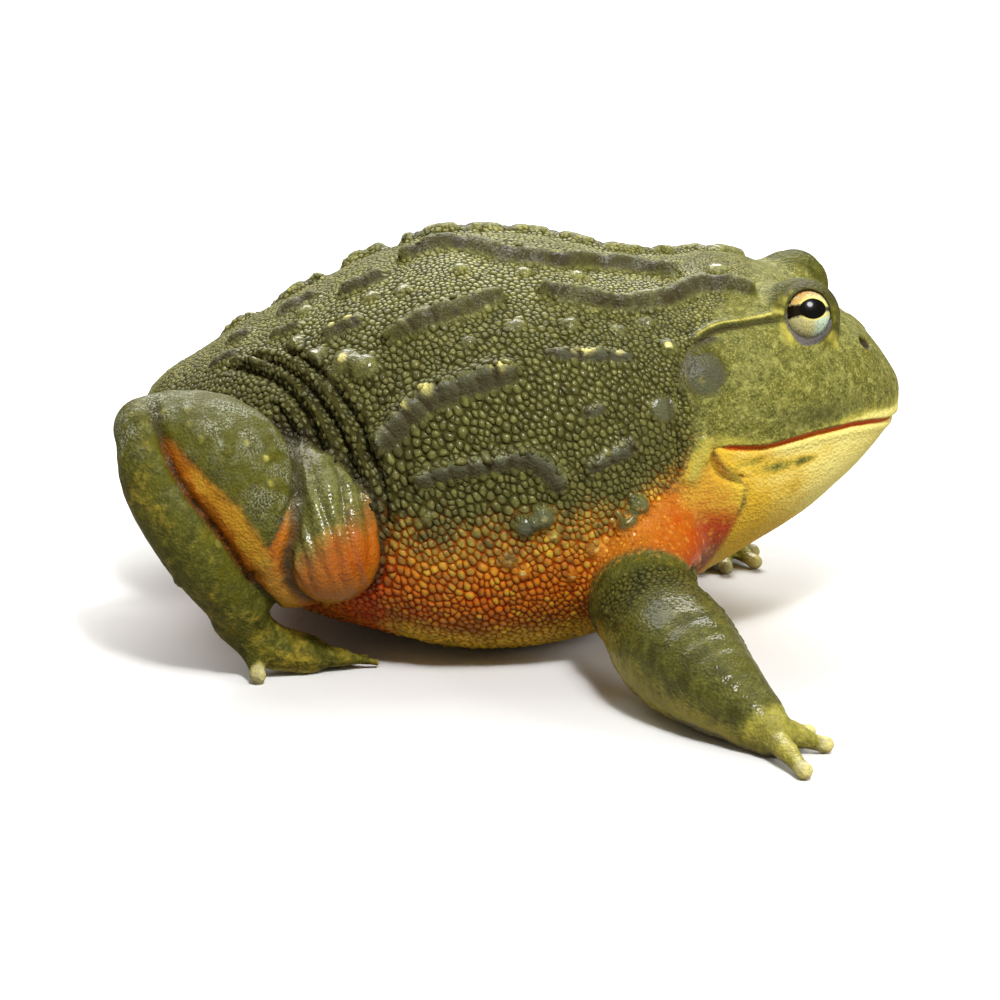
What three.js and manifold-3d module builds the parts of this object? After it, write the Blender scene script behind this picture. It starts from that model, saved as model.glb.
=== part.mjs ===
// African bullfrog, an adult male at life size, squatting on its belly.
// Millimetres. +X runs to the snout, +Y to the frog's left, +Z up. The floor is z = 0 and the
// origin lies under the middle of the belly, on the flat that the frog rests on.
import * as THREE from "three";
import { mergeVertices } from "three/addons/utils/BufferGeometryUtils.js";
import Module from "manifold-3d";

const wasm = await Module();
wasm.setup();

const GAP = 0.3; // clearance left between two pieces that meet
const RIGHT = -1;
const LEFT = 1;

// ---- Trunk and head: one profile, given at stations along the body ----
// top, wide and bottom are heights: of the back, of the widest line, and of the belly or throat.
// half is half the width at the widest line.
const STATIONS = [
  { x: -81, top: 49, wide: 46, bottom: 43, half: 0 },
  { x: -77, top: 55, wide: 44, bottom: 33, half: 13 },
  { x: -69, top: 60.5, wide: 42, bottom: 22, half: 24 },
  { x: -58, top: 68.5, wide: 39, bottom: 12, half: 36 },
  { x: -44, top: 76.4, wide: 36, bottom: 6, half: 46 },
  { x: -28, top: 83.8, wide: 34, bottom: 2.5, half: 53 },
  { x: -12, top: 88.5, wide: 33, bottom: -0.8, half: 56.5 },
  { x: 6, top: 87.5, wide: 35, bottom: -1, half: 55.5 },
  { x: 24, top: 84, wide: 39, bottom: 2.5, half: 50 },
  { x: 36, top: 83.2, wide: 44, bottom: 9, half: 44 },
  { x: 46, top: 83, wide: 48, bottom: 15, half: 40.5 },
  { x: 57, top: 79.6, wide: 50, bottom: 21.5, half: 36.5 },
  { x: 66, top: 74.8, wide: 50.5, bottom: 27, half: 31.5 },
  { x: 74, top: 69, wide: 51, bottom: 33.5, half: 25 },
  { x: 80.5, top: 63.3, wide: 51, bottom: 39.3, half: 18 },
  { x: 85.2, top: 57.5, wide: 51, bottom: 44.5, half: 10.5 },
  { x: 87.8, top: 52.5, wide: 51.5, bottom: 50.5, half: 0 },
];
const BACK_ROUNDNESS = 2.15; // 2 is an ellipse, and more is squarer
const BELLY_ROUNDNESS = 2.9;

// ---- Head ----
const MOUTH_HEIGHT = 48.4;
const MOUTH_CORNER_X = 45;
const JAW_INSET = 1.1; // how far the lower jaw closes inside the upper lip
const NECK_TOP_X = 34.5; // where the thin cut behind the ears leaves the back
const NECK_LEAN = -0.1; // how far forward the cut moves for each millimetre down
const EYE = { x: 65.5, y: 16.9, z: 72.4, radius: 6.5 };
const EYE_BUMP = { x: 64.8, y: 13.6, z: 71.6, radius: 8.2, blend: 4 };
const EAR = { x: 42.6, y: 36.9, z: 63.2, radius: 4.7, thick: 2.6, turn: 10, tilt: 28 };

// ---- Limbs: each is a chain of [x, distance from the middle, z, radius] ----
const THIGH = [
  [-53, 20, 44, 13],
  [-43.5, 34.5, 41, 13.5],
  [-38.5, 45.5, 35.5, 13],
  [-37.5, 51, 29, 11.8],
];
const SHANK = [
  [-44, 48, 24, 8.5],
  [-50, 47, 33, 13],
  [-61, 45, 45, 15],
  [-71, 44.5, 52, 10],
  [-76.5, 46, 54, 7],
];
const TARSUS = [
  [-76.5, 48, 54, 6.4],
  [-74, 52.5, 44, 7],
  [-66.5, 53, 30.5, 7.2],
  [-58, 49.5, 16, 5.6],
];
// The far leg lies lower, with its heel near the floor.
const FAR_SHANK = [
  [-43, 49, 22, 8.5],
  [-50, 48, 26, 13],
  [-60, 46, 31, 14.5],
  [-70, 44.5, 35, 10],
  [-75.5, 45, 36, 7],
];
const FAR_TARSUS = [
  [-75.5, 47, 36, 6.4],
  [-74, 52, 28.5, 7],
  [-66.5, 54.5, 18, 6.7],
  [-58, 52, 9, 5.6],
];
const SOLE = [
  [-57.5, 49.5, 13, 5.2],
  [-51, 48, 6.8, 4.9],
  [-43, 46, 4, 4.2],
];
const FAR_SOLE = [
  [-58, 51.5, 8, 5.4],
  [-51, 49, 5.2, 4.8],
  [-43, 46, 4, 4.2],
];
const TOES = [
  { from: [-46, 44, 4], to: [-38.5, 37.5, 1.2], thick: 1.9, tip: 1.3 },
  { from: [-45, 44.5, 4], to: [-34, 37.5, 1.2], thick: 2, tip: 1.3 },
  { from: [-44.5, 45.5, 4], to: [-30.5, 39.5, 1.2], thick: 2.1, tip: 1.3 },
  { from: [-44, 46.5, 4], to: [-26.5, 43, 1.2], thick: 2.4, tip: 1.3 },
  { from: [-54.5, 49, 6], to: [-53, 54.5, 1.8], thick: 2.4, tip: 1.9 },
];
const ARMS = {
  [RIGHT]: {
    upper: [
      [30, 28, 35, 11],
      [30.5, 41, 26.5, 11],
      [29, 53.5, 19, 11],
    ],
    fore: [
      [29.5, 57, 17.5, 10.8],
      [35, 73, 13.8, 12.9],
      [43, 88, 9.8, 9.8],
      [49.5, 96, 6.6, 6.6],
    ],
    palm: [
      [50, 96.5, 5.8, 5.8],
      [53.5, 101, 4.2, 5],
    ],
    fingers: [
      { from: [52.5, 98, 4.4], to: [56.5, 85.5, 1.5], thick: 2.6, tip: 1.8 },
      { from: [54, 99, 4.2], to: [61.5, 92.5, 1.6], thick: 2.6, tip: 1.9 },
      { from: [55, 101, 4], to: [64.5, 100.5, 1.7], thick: 2.8, tip: 1.9 },
      { from: [53.5, 103, 4], to: [59, 117, 1.7], thick: 2.8, tip: 1.9 },
    ],
  },
  [LEFT]: {
    upper: [
      [30, 28, 35, 11],
      [30, 41, 27, 11],
      [27, 53.5, 19, 11],
    ],
    fore: [
      [25, 55.5, 19, 10.5],
      [32.5, 55.3, 13.5, 10.5],
      [40.5, 52.5, 8.8, 8],
      [46, 48, 6.2, 6],
    ],
    palm: [
      [46.5, 47.5, 5.8, 5.6],
      [50.5, 43, 4.2, 4.8],
    ],
    fingers: [
      { from: [49.5, 42, 4.2], to: [45.5, 30.5, 1.5], thick: 2.6, tip: 1.8 },
      { from: [51, 41.5, 4], to: [51.5, 30, 1.6], thick: 2.6, tip: 1.9 },
      { from: [52, 42.5, 4], to: [58.5, 34.5, 1.7], thick: 2.7, tip: 1.9 },
      { from: [52, 44, 4], to: [58.5, 43.5, 1.7], thick: 2.7, tip: 1.9 },
    ],
  },
};

// ---- Finishes ----
const finish = (color, roughness) =>
  new THREE.MeshStandardMaterial({ color, roughness, metalness: 0 });
const SKIN = finish(0x5b5f35, 0.45);
const THROAT = finish(0xc9b24a, 0.45);
const LEG_SKIN = finish(0x66682f, 0.4);
const EAR_SKIN = finish(0x4f5544, 0.5);
const EYE_GLASS = finish(0x8c7a45, 0.08);

// ---- Small helpers ----
const clamp = (v, low, high) => Math.min(high, Math.max(low, v));
const mirror = ([x, y, ...rest], side) => [x, y * side, ...rest];

// Smooth minimum: joins two forms with a fillet about k wide.
function blend(a, b, k) {
  const h = clamp(0.5 + (0.5 * (b - a)) / k, 0, 1);
  return b + (a - b) * h - k * h * (1 - h);
}

// Cubic through (x, value) pairs with no overshoot.
function smoothThrough(xs, values) {
  const last = xs.length - 1;
  const slopes = xs.slice(1).map((x, i) => (values[i + 1] - values[i]) / (x - xs[i]));
  const tangents = xs.map((_, i) => {
    if (i === 0) return slopes[0];
    if (i === last) return slopes[last - 1];
    const [before, after] = [slopes[i - 1], slopes[i]];
    return before * after <= 0 ? 0 : (2 * before * after) / (before + after);
  });
  return (x) => {
    const at = clamp(x, xs[0], xs[last]);
    let i = 0;
    while (i < last - 1 && at > xs[i + 1]) i++;
    const step = xs[i + 1] - xs[i];
    const t = (at - xs[i]) / step;
    return (
      values[i] * (1 + 2 * t) * (1 - t) ** 2 +
      values[i + 1] * t * t * (3 - 2 * t) +
      step * (tangents[i] * t * (1 - t) ** 2 + tangents[i + 1] * t * t * (t - 1))
    );
  };
}

// ---- The trunk's form as a function that is negative inside ----
const stationX = STATIONS.map((s) => s.x);
const profile = {
  wide: smoothThrough(stationX, STATIONS.map((s) => s.wide)),
  // Squares are interpolated, so that both ends close round.
  half: smoothThrough(stationX, STATIONS.map((s) => s.half ** 2)),
  up: smoothThrough(stationX, STATIONS.map((s) => (s.top - s.wide) ** 2)),
  down: smoothThrough(stationX, STATIONS.map((s) => (s.wide - s.bottom) ** 2)),
};

// The lower jaw is a little smaller than the upper lip that it closes against.
function jawInset(x, z) {
  const along = clamp((x - MOUTH_CORNER_X) / 12, 0, 1);
  const below = clamp((MOUTH_HEIGHT - z) / 0.4, 0, 1);
  return JAW_INSET * along * below * clamp(1 - (MOUTH_HEIGHT - z) / 12, 0, 1);
}

function torsoField(x, y, z) {
  const wide = profile.wide(x);
  const half = Math.sqrt(Math.max(profile.half(x), 1e-6));
  const up = z > wide;
  const height = Math.sqrt(Math.max((up ? profile.up : profile.down)(x), 1e-6));
  const n = up ? BACK_ROUNDNESS : BELLY_ROUNDNESS;
  const ratio = ((Math.abs(y) / half) ** n + (Math.abs(z - wide) / height) ** n) ** (1 / n);
  const body = (ratio - 1) * Math.min(half, height) + jawInset(x, z);
  const bump = Math.hypot(x - EYE_BUMP.x, Math.abs(y) - EYE_BUMP.y, z - EYE_BUMP.z);
  return blend(body, bump - EYE_BUMP.radius, EYE_BUMP.blend);
}

// ---- Solids ----
// A closed mesh from rings of points that run along a form, with a pole at each end.
function solidFromRings(rings, firstPole, lastPole) {
  const around = rings[0].length;
  const points = [firstPole, ...rings.flat(), lastPole];
  const last = points.length - 1;
  const at = (ring, k) => 1 + ring * around + (k % around);
  const faces = [];
  for (let k = 0; k < around; k++) {
    faces.push(0, at(0, k + 1), at(0, k));
    faces.push(last, at(rings.length - 1, k), at(rings.length - 1, k + 1));
    for (let ring = 0; ring < rings.length - 1; ring++) {
      const [a, b] = [at(ring, k), at(ring, k + 1)];
      const [c, d] = [at(ring + 1, k), at(ring + 1, k + 1)];
      faces.push(a, b, d, a, d, c);
    }
  }
  return asSolid(new Float32Array(points.flat()), new Uint32Array(faces));
}

function asSolid(vertProperties, triVerts) {
  return new wasm.Manifold(new wasm.Mesh({ numProp: 3, vertProperties, triVerts }));
}

// A three.js geometry as a solid, in millimetres, in the frog's frame.
function solidFromGeometry(geometry) {
  geometry.deleteAttribute("normal");
  geometry.deleteAttribute("uv");
  const merged = mergeVertices(geometry, 1e-4);
  return asSolid(
    new Float32Array(merged.getAttribute("position").array),
    new Uint32Array(merged.index.array),
  );
}

// The trunk and head together: rings square to X, each point found where its ray leaves the form.
function torso(grow = 0) {
  const AROUND = 32;
  const stations = ringStations();
  const rings = stations.map((x) => {
    const middle = profile.wide(x);
    return Array.from({ length: AROUND }, (_, k) => {
      const angle = (2 * Math.PI * k) / AROUND;
      const [dy, dz] = [Math.cos(angle), Math.sin(angle)];
      let [inside, outside] = [0, 90];
      for (let step = 0; step < 24; step++) {
        const r = (inside + outside) / 2;
        if (torsoField(x, r * dy, middle + r * dz) < grow) inside = r;
        else outside = r;
      }
      return [x, inside * dy, middle + inside * dz];
    });
  });
  const ends = [STATIONS[0], STATIONS.at(-1)];
  return solidFromRings(
    rings,
    [ends[0].x - grow, 0, ends[0].wide],
    [ends[1].x + grow, 0, ends[1].wide],
  );
}

// Ring places along X: close together on the head and at both ends, wider apart on the trunk.
function ringStations() {
  const [start, end] = [STATIONS[0].x, STATIONS.at(-1).x];
  const places = [start + 0.4, start + 1.6, start + 4];
  const pace = smoothThrough([start, -60, 30, 55, 78, end], [4, 6.5, 6, 3.2, 2.8, 1]);
  let x = places.at(-1);
  while (x + pace(x) < end - 0.6) {
    x += pace(x);
    places.push(x);
  }
  return [...places, end - 0.15];
}

// A limb: a tube along a smooth chain of joints, with round ends. capTurns are the places of the
// rings on each end, as shares of the way round from the rim to the pole.
function limb(chain, { around = 12, perJoint = 2, capTurns = [0.45, 0.8], grow = 0 } = {}) {
  const curve = new THREE.CatmullRomCurve3(
    chain.map(([x, y, z]) => new THREE.Vector3(x, y, z)),
    false,
    "centripetal",
  );
  const radii = smoothThrough(chain.map((_, i) => i), chain.map((joint) => joint[3] + grow));
  const steps = (chain.length - 1) * perJoint;
  const frames = curve.computeFrenetFrames(steps, false);
  const ring = (centre, radius, i) =>
    Array.from({ length: around }, (_, k) => {
      const angle = (2 * Math.PI * k) / around;
      return centre
        .clone()
        .addScaledVector(frames.normals[i], radius * Math.cos(angle))
        .addScaledVector(frames.binormals[i], radius * Math.sin(angle))
        .toArray();
    });
  const rings = [];
  const cap = (i, sign) => {
    const centre = curve.getPoint(i / steps);
    const tangent = curve.getTangent(i / steps).multiplyScalar(sign);
    const radius = radii((i / steps) * (chain.length - 1));
    const made = capTurns.map((share) => {
      const turn = (share * Math.PI) / 2;
      const middle = centre.clone().addScaledVector(tangent, radius * Math.sin(turn));
      return ring(middle, radius * Math.cos(turn), i);
    });
    return { made, pole: centre.clone().addScaledVector(tangent, radius).toArray() };
  };
  const first = cap(0, -1);
  const end = cap(steps, 1);
  rings.push(...first.made.reverse());
  for (let i = 0; i <= steps; i++) {
    rings.push(ring(curve.getPoint(i / steps), radii((i / steps) * (chain.length - 1)), i));
  }
  rings.push(...end.made);
  return solidFromRings(rings, first.pole, end.pole);
}

// A finger or toe: it droops from its knuckle and lies along the floor to a round tip.
function digit({ from, to, thick, tip }, side, grow) {
  const start = new THREE.Vector3(...mirror(from, side));
  const finish = new THREE.Vector3(...mirror(to, side));
  const middle = start.clone().lerp(finish, 0.5);
  middle.z = (start.z + finish.z) / 2 + 0.4;
  const chain = [
    [...start.toArray(), thick],
    [...middle.toArray(), (thick + tip) / 2],
    [...finish.toArray(), tip],
  ];
  return limb(chain, { around: 6, perJoint: 1, capTurns: [0.6], grow });
}

// A palm or sole with its digits, as one solid.
function extremity(chain, digits, side, grow = 0) {
  const base = limb(chain.map((joint) => mirror(joint, side)), { around: 9, perJoint: 2, capTurns: [0.6], grow });
  return digits.reduce((made, one) => made.add(digit(one, side, grow)), base);
}

function eyeball(side, grow = 0) {
  const ball = new THREE.SphereGeometry(EYE.radius + grow, 12, 8);
  ball.translate(EYE.x, side * EYE.y, EYE.z);
  return solidFromGeometry(ball);
}

// The eardrum: a disc let into the cheek.
function eardrum(side, grow = 0) {
  const disc = new THREE.CylinderGeometry(EAR.radius + grow, EAR.radius + grow, EAR.thick + 2 * grow, 16);
  disc.rotateX(THREE.MathUtils.degToRad(side * EAR.tilt));
  disc.rotateZ(THREE.MathUtils.degToRad(-side * EAR.turn));
  disc.translate(EAR.x, side * EAR.y, EAR.z);
  return solidFromGeometry(disc);
}

// A big block on one side of a plane through a point, to cut with.
function beyond(point, normal) {
  const SIZE = 600;
  const block = new THREE.BoxGeometry(SIZE, SIZE, SIZE);
  block.translate(0, 0, SIZE / 2);
  const turn = new THREE.Quaternion().setFromUnitVectors(
    new THREE.Vector3(0, 0, 1),
    new THREE.Vector3(...normal).normalize(),
  );
  block.applyQuaternion(turn);
  block.translate(...point);
  return solidFromGeometry(block);
}

// ---- Cutting the body into its parts ----
const floor = beyond([0, 0, 0], [0, 0, -1]);
const whole = torso();
const neckFront = beyond([NECK_TOP_X + GAP / 2, 0, 80], [1, 0, -NECK_LEAN]);
const neckBack = beyond([NECK_TOP_X - GAP / 2, 0, 80], [-1, 0, NECK_LEAN]);
const aboveMouth = beyond([0, 0, MOUTH_HEIGHT + GAP / 2], [0, 0, 1]);
const belowMouth = beyond([0, 0, MOUTH_HEIGHT - GAP / 2], [0, 0, -1]);

// Each piece: its name, its finish and its solid, grown by some clearance. A piece listed
// later gives way to every one before it.
const makers = [];
const piece = (name, material, make) => makers.push({ name, material, make });

for (const [side, label] of [[RIGHT, "right"], [LEFT, "left"]]) {
  piece(`eye_${label}`, EYE_GLASS, (grow) => eyeball(side, grow));
  piece(`ear_${label}`, EAR_SKIN, (grow) => eardrum(side, grow));
}
piece("head", SKIN, (grow) => (grow ? null : whole.intersect(neckFront).intersect(aboveMouth)));
piece("jaw", THROAT, (grow) => (grow ? null : whole.intersect(neckFront).intersect(belowMouth)));
piece("trunk", SKIN, (grow) => (grow ? torso(grow) : whole.intersect(neckBack)));
for (const [side, label] of [[RIGHT, "right"], [LEFT, "left"]]) {
  const placed = (chain) => chain.map((joint) => mirror(joint, side));
  const arm = ARMS[side];
  const tube = (chain, options) => (grow) => limb(placed(chain), { ...options, grow });
  piece(`upper_arm_${label}`, SKIN, tube(arm.upper));
  piece(`forearm_${label}`, LEG_SKIN, tube(arm.fore));
  piece(`hand_${label}`, LEG_SKIN, (grow) => extremity(arm.palm, arm.fingers, side, grow));
  piece(`thigh_${label}`, SKIN, tube(THIGH));
  piece(`shank_${label}`, LEG_SKIN, tube(side === LEFT ? FAR_SHANK : SHANK));
  piece(`tarsus_${label}`, LEG_SKIN, tube(side === LEFT ? FAR_TARSUS : TARSUS, { around: 10, capTurns: [0.6] }));
  piece(`foot_${label}`, LEG_SKIN, (grow) => extremity(side === LEFT ? FAR_SOLE : SOLE, TOES, side, grow));
}

// The largest body of a cut, without the crumbs that a grazing cut leaves.
function largest(solid) {
  return solid.decompose().reduce((a, b) => (a.volume() > b.volume() ? a : b));
}

const boxesMeet = (a, b) =>
  [0, 1, 2].every((i) => a.min[i] < b.max[i] + 1 && b.min[i] < a.max[i] + 1);

// The head, jaw and trunk are parted by the neck and mouth cuts, so only eyes and ears cut them.
const CARVED = ["head", "jaw", "trunk"];
const givesWayTo = (name, earlier) => !CARVED.includes(name) || /^(eye|ear)_/.test(earlier.name);

const frog = new THREE.Group();
const finished = [];
for (const { name, material, make } of makers) {
  const uncut = make(0);
  const box = uncut.boundingBox();
  let solid = uncut.subtract(floor);
  for (const earlier of finished) {
    if (!givesWayTo(name, earlier) || !boxesMeet(earlier.box, box)) continue;
    const cutter = earlier.make(GAP);
    if (cutter) solid = solid.subtract(cutter);
  }
  finished.push({ name, make, box });
  const mesh = largest(solid).getMesh();
  const geometry = new THREE.BufferGeometry();
  geometry.setAttribute("position", new THREE.BufferAttribute(mesh.vertProperties, 3));
  geometry.setIndex(new THREE.BufferAttribute(mesh.triVerts, 1));
  geometry.computeVertexNormals();
  const body = new THREE.Mesh(geometry, material);
  body.name = name;
  frog.add(body);
}

export default frog;
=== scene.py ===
import math

import bpy
import numpy as np
from mathutils import Matrix, Vector
from mathutils.kdtree import KDTree


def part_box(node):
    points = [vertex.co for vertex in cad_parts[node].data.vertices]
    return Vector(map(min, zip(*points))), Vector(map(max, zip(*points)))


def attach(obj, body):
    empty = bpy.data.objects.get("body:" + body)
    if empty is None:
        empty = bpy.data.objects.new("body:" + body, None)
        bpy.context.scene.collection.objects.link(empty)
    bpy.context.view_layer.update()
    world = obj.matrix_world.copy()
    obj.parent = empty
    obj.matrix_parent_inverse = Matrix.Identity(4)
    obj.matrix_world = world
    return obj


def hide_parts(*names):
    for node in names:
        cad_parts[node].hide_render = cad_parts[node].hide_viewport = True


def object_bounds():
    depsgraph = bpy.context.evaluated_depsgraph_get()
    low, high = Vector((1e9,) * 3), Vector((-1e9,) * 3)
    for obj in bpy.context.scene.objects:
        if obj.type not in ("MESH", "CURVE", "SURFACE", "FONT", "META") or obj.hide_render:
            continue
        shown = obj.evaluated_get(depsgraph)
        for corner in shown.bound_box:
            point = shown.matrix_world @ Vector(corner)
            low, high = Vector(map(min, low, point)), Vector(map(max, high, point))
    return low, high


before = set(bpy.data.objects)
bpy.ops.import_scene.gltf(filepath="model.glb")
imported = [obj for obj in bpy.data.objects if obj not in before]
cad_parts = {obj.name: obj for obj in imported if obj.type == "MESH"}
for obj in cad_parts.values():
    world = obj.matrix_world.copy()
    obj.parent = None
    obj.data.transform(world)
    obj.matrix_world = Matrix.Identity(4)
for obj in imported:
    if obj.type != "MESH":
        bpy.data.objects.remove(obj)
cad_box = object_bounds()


# ---- The body's form ----
# The trunk and head are one soft barrel, given by cross sections along the back, and the limbs
# are round muscles along their bones. All of it is flesh, so the one skin below covers it.
MM = 0.001  # this form is worked out in millimetres
SIDES = (-1, 1)  # the frog's right, with the spread arm, and its left
# Each section: its place along the body, and the heights of the back, of the widest line and of
# the belly there, with half the width at the widest line.
SECTIONS = np.array([
    (-81, 49, 46, 43, 0), (-77, 55, 44, 33, 13), (-69, 60.5, 42, 22, 24), (-58, 68.5, 39, 12, 36),
    (-44, 76.4, 36, 6, 46), (-28, 83.8, 34, 2.5, 53), (-12, 88.5, 33, -0.8, 56.5),
    (6, 87.5, 35, -1, 55.5), (24, 84, 39, 2.5, 50), (36, 83.2, 44, 9, 44), (46, 83, 48, 15, 40.5),
    (57, 79.6, 50, 21.5, 36.5), (66, 74.8, 50.5, 27, 31.5), (74, 70.1, 51, 33.5, 25),
    (80.5, 64.5, 51, 39.3, 18), (85.2, 58.4, 51, 44.5, 10.5), (87.8, 52.5, 51.5, 50.5, 0),
], float)
BACK_ROUNDNESS = 2.15  # 2 is an ellipse, and more is squarer
BELLY_ROUNDNESS = 2.9
EYE_BUMP = np.array((62.8, 13.4, 70.1))  # the swelling over each eye
EYE_BUMP_RADIUS = 8.0


def ramp(low, high, value):
    """Rises smoothly from 0 to 1 as value goes from low to high, or falls where high is less."""
    part = np.clip((value - low) / (high - low), 0, 1)
    return part * part * (3 - 2 * part)


def soft_union(a, b, width):
    """The lower of two distances, with a fillet about width across where the forms meet."""
    part = np.clip(0.5 + 0.5 * (b - a) / width, 0, 1)
    return b + (a - b) * part - width * part * (1 - part)


def curve_through(places, values, at):
    """A cubic curve through the points that never overshoots them."""
    slope = np.diff(values) / np.diff(places)
    before, after = slope[:-1], slope[1:]
    both = before * after
    total = np.where(before + after == 0, 1, before + after)
    tangent = np.concatenate([slope[:1], np.where(both > 0, 2 * both / total, 0), slope[-1:]])
    i = np.clip(np.searchsorted(places, at, side="right") - 1, 0, len(places) - 2)
    gap = places[i + 1] - places[i]
    t = (at - places[i]) / gap
    ends = values[i] * (1 + 2 * t) * (1 - t) ** 2 + values[i + 1] * t * t * (3 - 2 * t)
    return ends + gap * (tangent[i] * t * (1 - t) ** 2 + tangent[i + 1] * t * t * (t - 1))


along, back, widest, belly, half_width = SECTIONS.T
fine_along = np.linspace(along[0], along[-1], 1700)
fine_widest = curve_through(along, widest, fine_along)
# Squares are interpolated, so that both ends close round.
fine_half, fine_up, fine_down = (
    curve_through(along, size**2, fine_along)
    for size in (half_width, back - widest, widest - belly)
)


def section_at(x):
    """The widest line's height, half the width, and the heights above and below that line."""
    squares = (np.interp(x, fine_along, size) for size in (fine_half, fine_up, fine_down))
    sizes = (np.sqrt(np.maximum(square, 1e-6)) for square in squares)
    return (np.interp(x, fine_along, fine_widest), *sizes)


def trunk_distance(p):
    """About how far a point lies outside the trunk and head, without the eyes and limbs."""
    x, y, z = p.T
    middle, half, up, down = section_at(x)
    height = np.where(z > middle, up, down)
    power = np.where(z > middle, BACK_ROUNDNESS, BELLY_ROUNDNESS)
    share = ((np.abs(y) / half) ** power + (np.abs(z - middle) / height) ** power) ** (1 / power)
    bump = np.linalg.norm(np.column_stack([x, np.abs(y), z]) - EYE_BUMP, axis=1) - EYE_BUMP_RADIUS
    return soft_union((share - 1) * np.minimum(half, height), bump, FILLET["eye bump"])


# Each limb is a chain of (x, distance from the middle, z, radius).
THIGH = ((-53, 20, 44, 13), (-43.5, 34.5, 41, 13.5), (-38.5, 45.5, 35.5, 13), (-37.5, 51, 29, 11.8))
SHANK = {
    -1: (
        (-44, 48, 24, 8.5), (-50, 47, 33, 13), (-61, 45, 45, 15), (-71, 44.5, 52, 10),
        (-76.5, 46, 54, 7),
    ),
    1: (
        (-43, 49, 22, 8.5), (-50, 48, 26, 13), (-60, 46, 31, 14.5), (-70, 44.5, 35, 10),
        (-75.5, 45, 36, 7),
    ),
}
TARSUS = {
    -1: ((-76.5, 48, 54, 6.4), (-74, 53, 44, 7.4), (-66, 54.4, 30.5, 7.8), (-57, 50.8, 16.5, 6.6)),
    1: ((-75.5, 47, 36, 6.4), (-74, 52, 28.5, 7), (-66.5, 54.5, 18, 6.7), (-58, 52, 9, 5.6)),
}
HEEL_FOLD = np.array((-51.5, -48, 21, 5.5))  # loose skin that fills the bend of the right leg
SOLE = {
    -1: ((-57.5, 49.5, 13, 5.6), (-51, 48, 6.8, 5.2), (-43, 46, 4.2, 4.4)),
    1: ((-58, 51.5, 8, 5.4), (-51, 49, 5.2, 4.8), (-43, 46, 4, 4.2)),
}
# Each finger or toe: its knuckle, its tip, and its radius at both.
TOES = (
    ((-46, 44, 4), (-38.5, 37.5, 1.2), 1.9, 1.2),
    ((-45, 44.5, 4), (-34, 37.5, 1.2), 2.0, 1.2),
    ((-44.5, 45.5, 4), (-30.5, 39.5, 1.2), 2.6, 1.1),
    ((-44, 46.5, 4), (-26.5, 43, 1.2), 3.3, 0.9),
    ((-54.5, 49, 6), (-53, 54.5, 1.9), 2.3, 1.9),
)
UPPER_ARM = {
    -1: ((30, 28, 35, 11), (30.5, 41, 26.5, 11), (29, 53.5, 19, 11)),
    1: ((30, 28, 35, 11), (30, 41, 27, 11), (27, 53.5, 19, 11)),
}
FOREARM = {
    -1: ((29.5, 57, 17.5, 10.8), (35, 73, 13.8, 12.9), (43, 88, 9.8, 9.8), (49.5, 96, 6.6, 6.6)),
    1: ((25, 55.5, 19, 10.5), (32.5, 55.3, 13.5, 10.5), (40.5, 52.5, 8.8, 8), (46, 48, 6.2, 6)),
}
PALM = {
    -1: ((50, 96.5, 5.8, 5.8), (53.5, 101, 4.2, 5)),
    1: ((46.5, 47.5, 5.8, 5.6), (50.5, 43, 4.2, 4.8)),
}
FINGERS = {
    -1: (
        ((52.5, 98, 4.4), (56.5, 85.5, 1.6), 2.6, 1.8),
        ((54, 99, 4.2), (61.5, 92.5, 1.7), 2.6, 1.9),
        ((55, 101, 4), (64.5, 100.5, 1.8), 2.8, 1.9), ((53.5, 103, 4), (59, 117, 1.8), 2.8, 1.9),
    ),
    1: (
        ((49.5, 42, 4.2), (45.5, 30.5, 1.6), 2.6, 1.8), ((51, 41.5, 4), (51.5, 30, 1.7), 2.6, 1.9),
        ((52, 42.5, 4), (58.5, 34.5, 1.8), 2.7, 1.9), ((52, 44, 4), (58.5, 43.5, 1.8), 2.7, 1.9),
    ),
}
FAR = 30.0  # stands for the distance to a limb that is not near
# How widely each part blends into what it grows from.
FILLET = {
    "elbow": 5, "fingers": 1.6, "wrist": 2.5, "shoulder": 3, "knee": 1.2, "heel fold": 4,
    "heel": 0.9, "toes": 1.6, "ankle": 2, "hip": 2.2, "canthus": 4, "eye bump": 4,
    "eye swelling": 4.5, "lid": 3, "socket rim": 0.5,
}


def rounded_chain(chain, per_joint=4):
    """The chain with more joints, on a centripetal Catmull-Rom curve, with smooth radii."""
    joints = np.array(chain, float)
    points, radii = joints[:, :3], joints[:, 3]
    padded = np.vstack([2 * points[0] - points[1], points, 2 * points[-1] - points[-2]])
    knots = np.concatenate([[0], np.cumsum(np.linalg.norm(np.diff(padded, axis=0), axis=1) ** 0.5)])
    shares = np.arange(len(points) - 1 + 1e-9, step=1 / per_joint)
    made = []
    for share in shares:
        i = min(int(share), len(points) - 2)
        t0, t1, t2, t3 = knots[i : i + 4]
        t = t1 + (share - i) * (t2 - t1)
        a, b, c, d = padded[i : i + 4]
        ab = a + (b - a) * (t - t0) / (t1 - t0)
        bc = b + (c - b) * (t - t1) / (t2 - t1)
        cd = c + (d - c) * (t - t2) / (t3 - t2)
        abc, bcd = ab + (bc - ab) * (t - t0) / (t2 - t0), bc + (cd - bc) * (t - t1) / (t3 - t1)
        made.append(abc + (bcd - abc) * (t - t1) / (t2 - t1))
    return np.array(made), curve_through(np.arange(len(radii), dtype=float), radii, shares)


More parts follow.
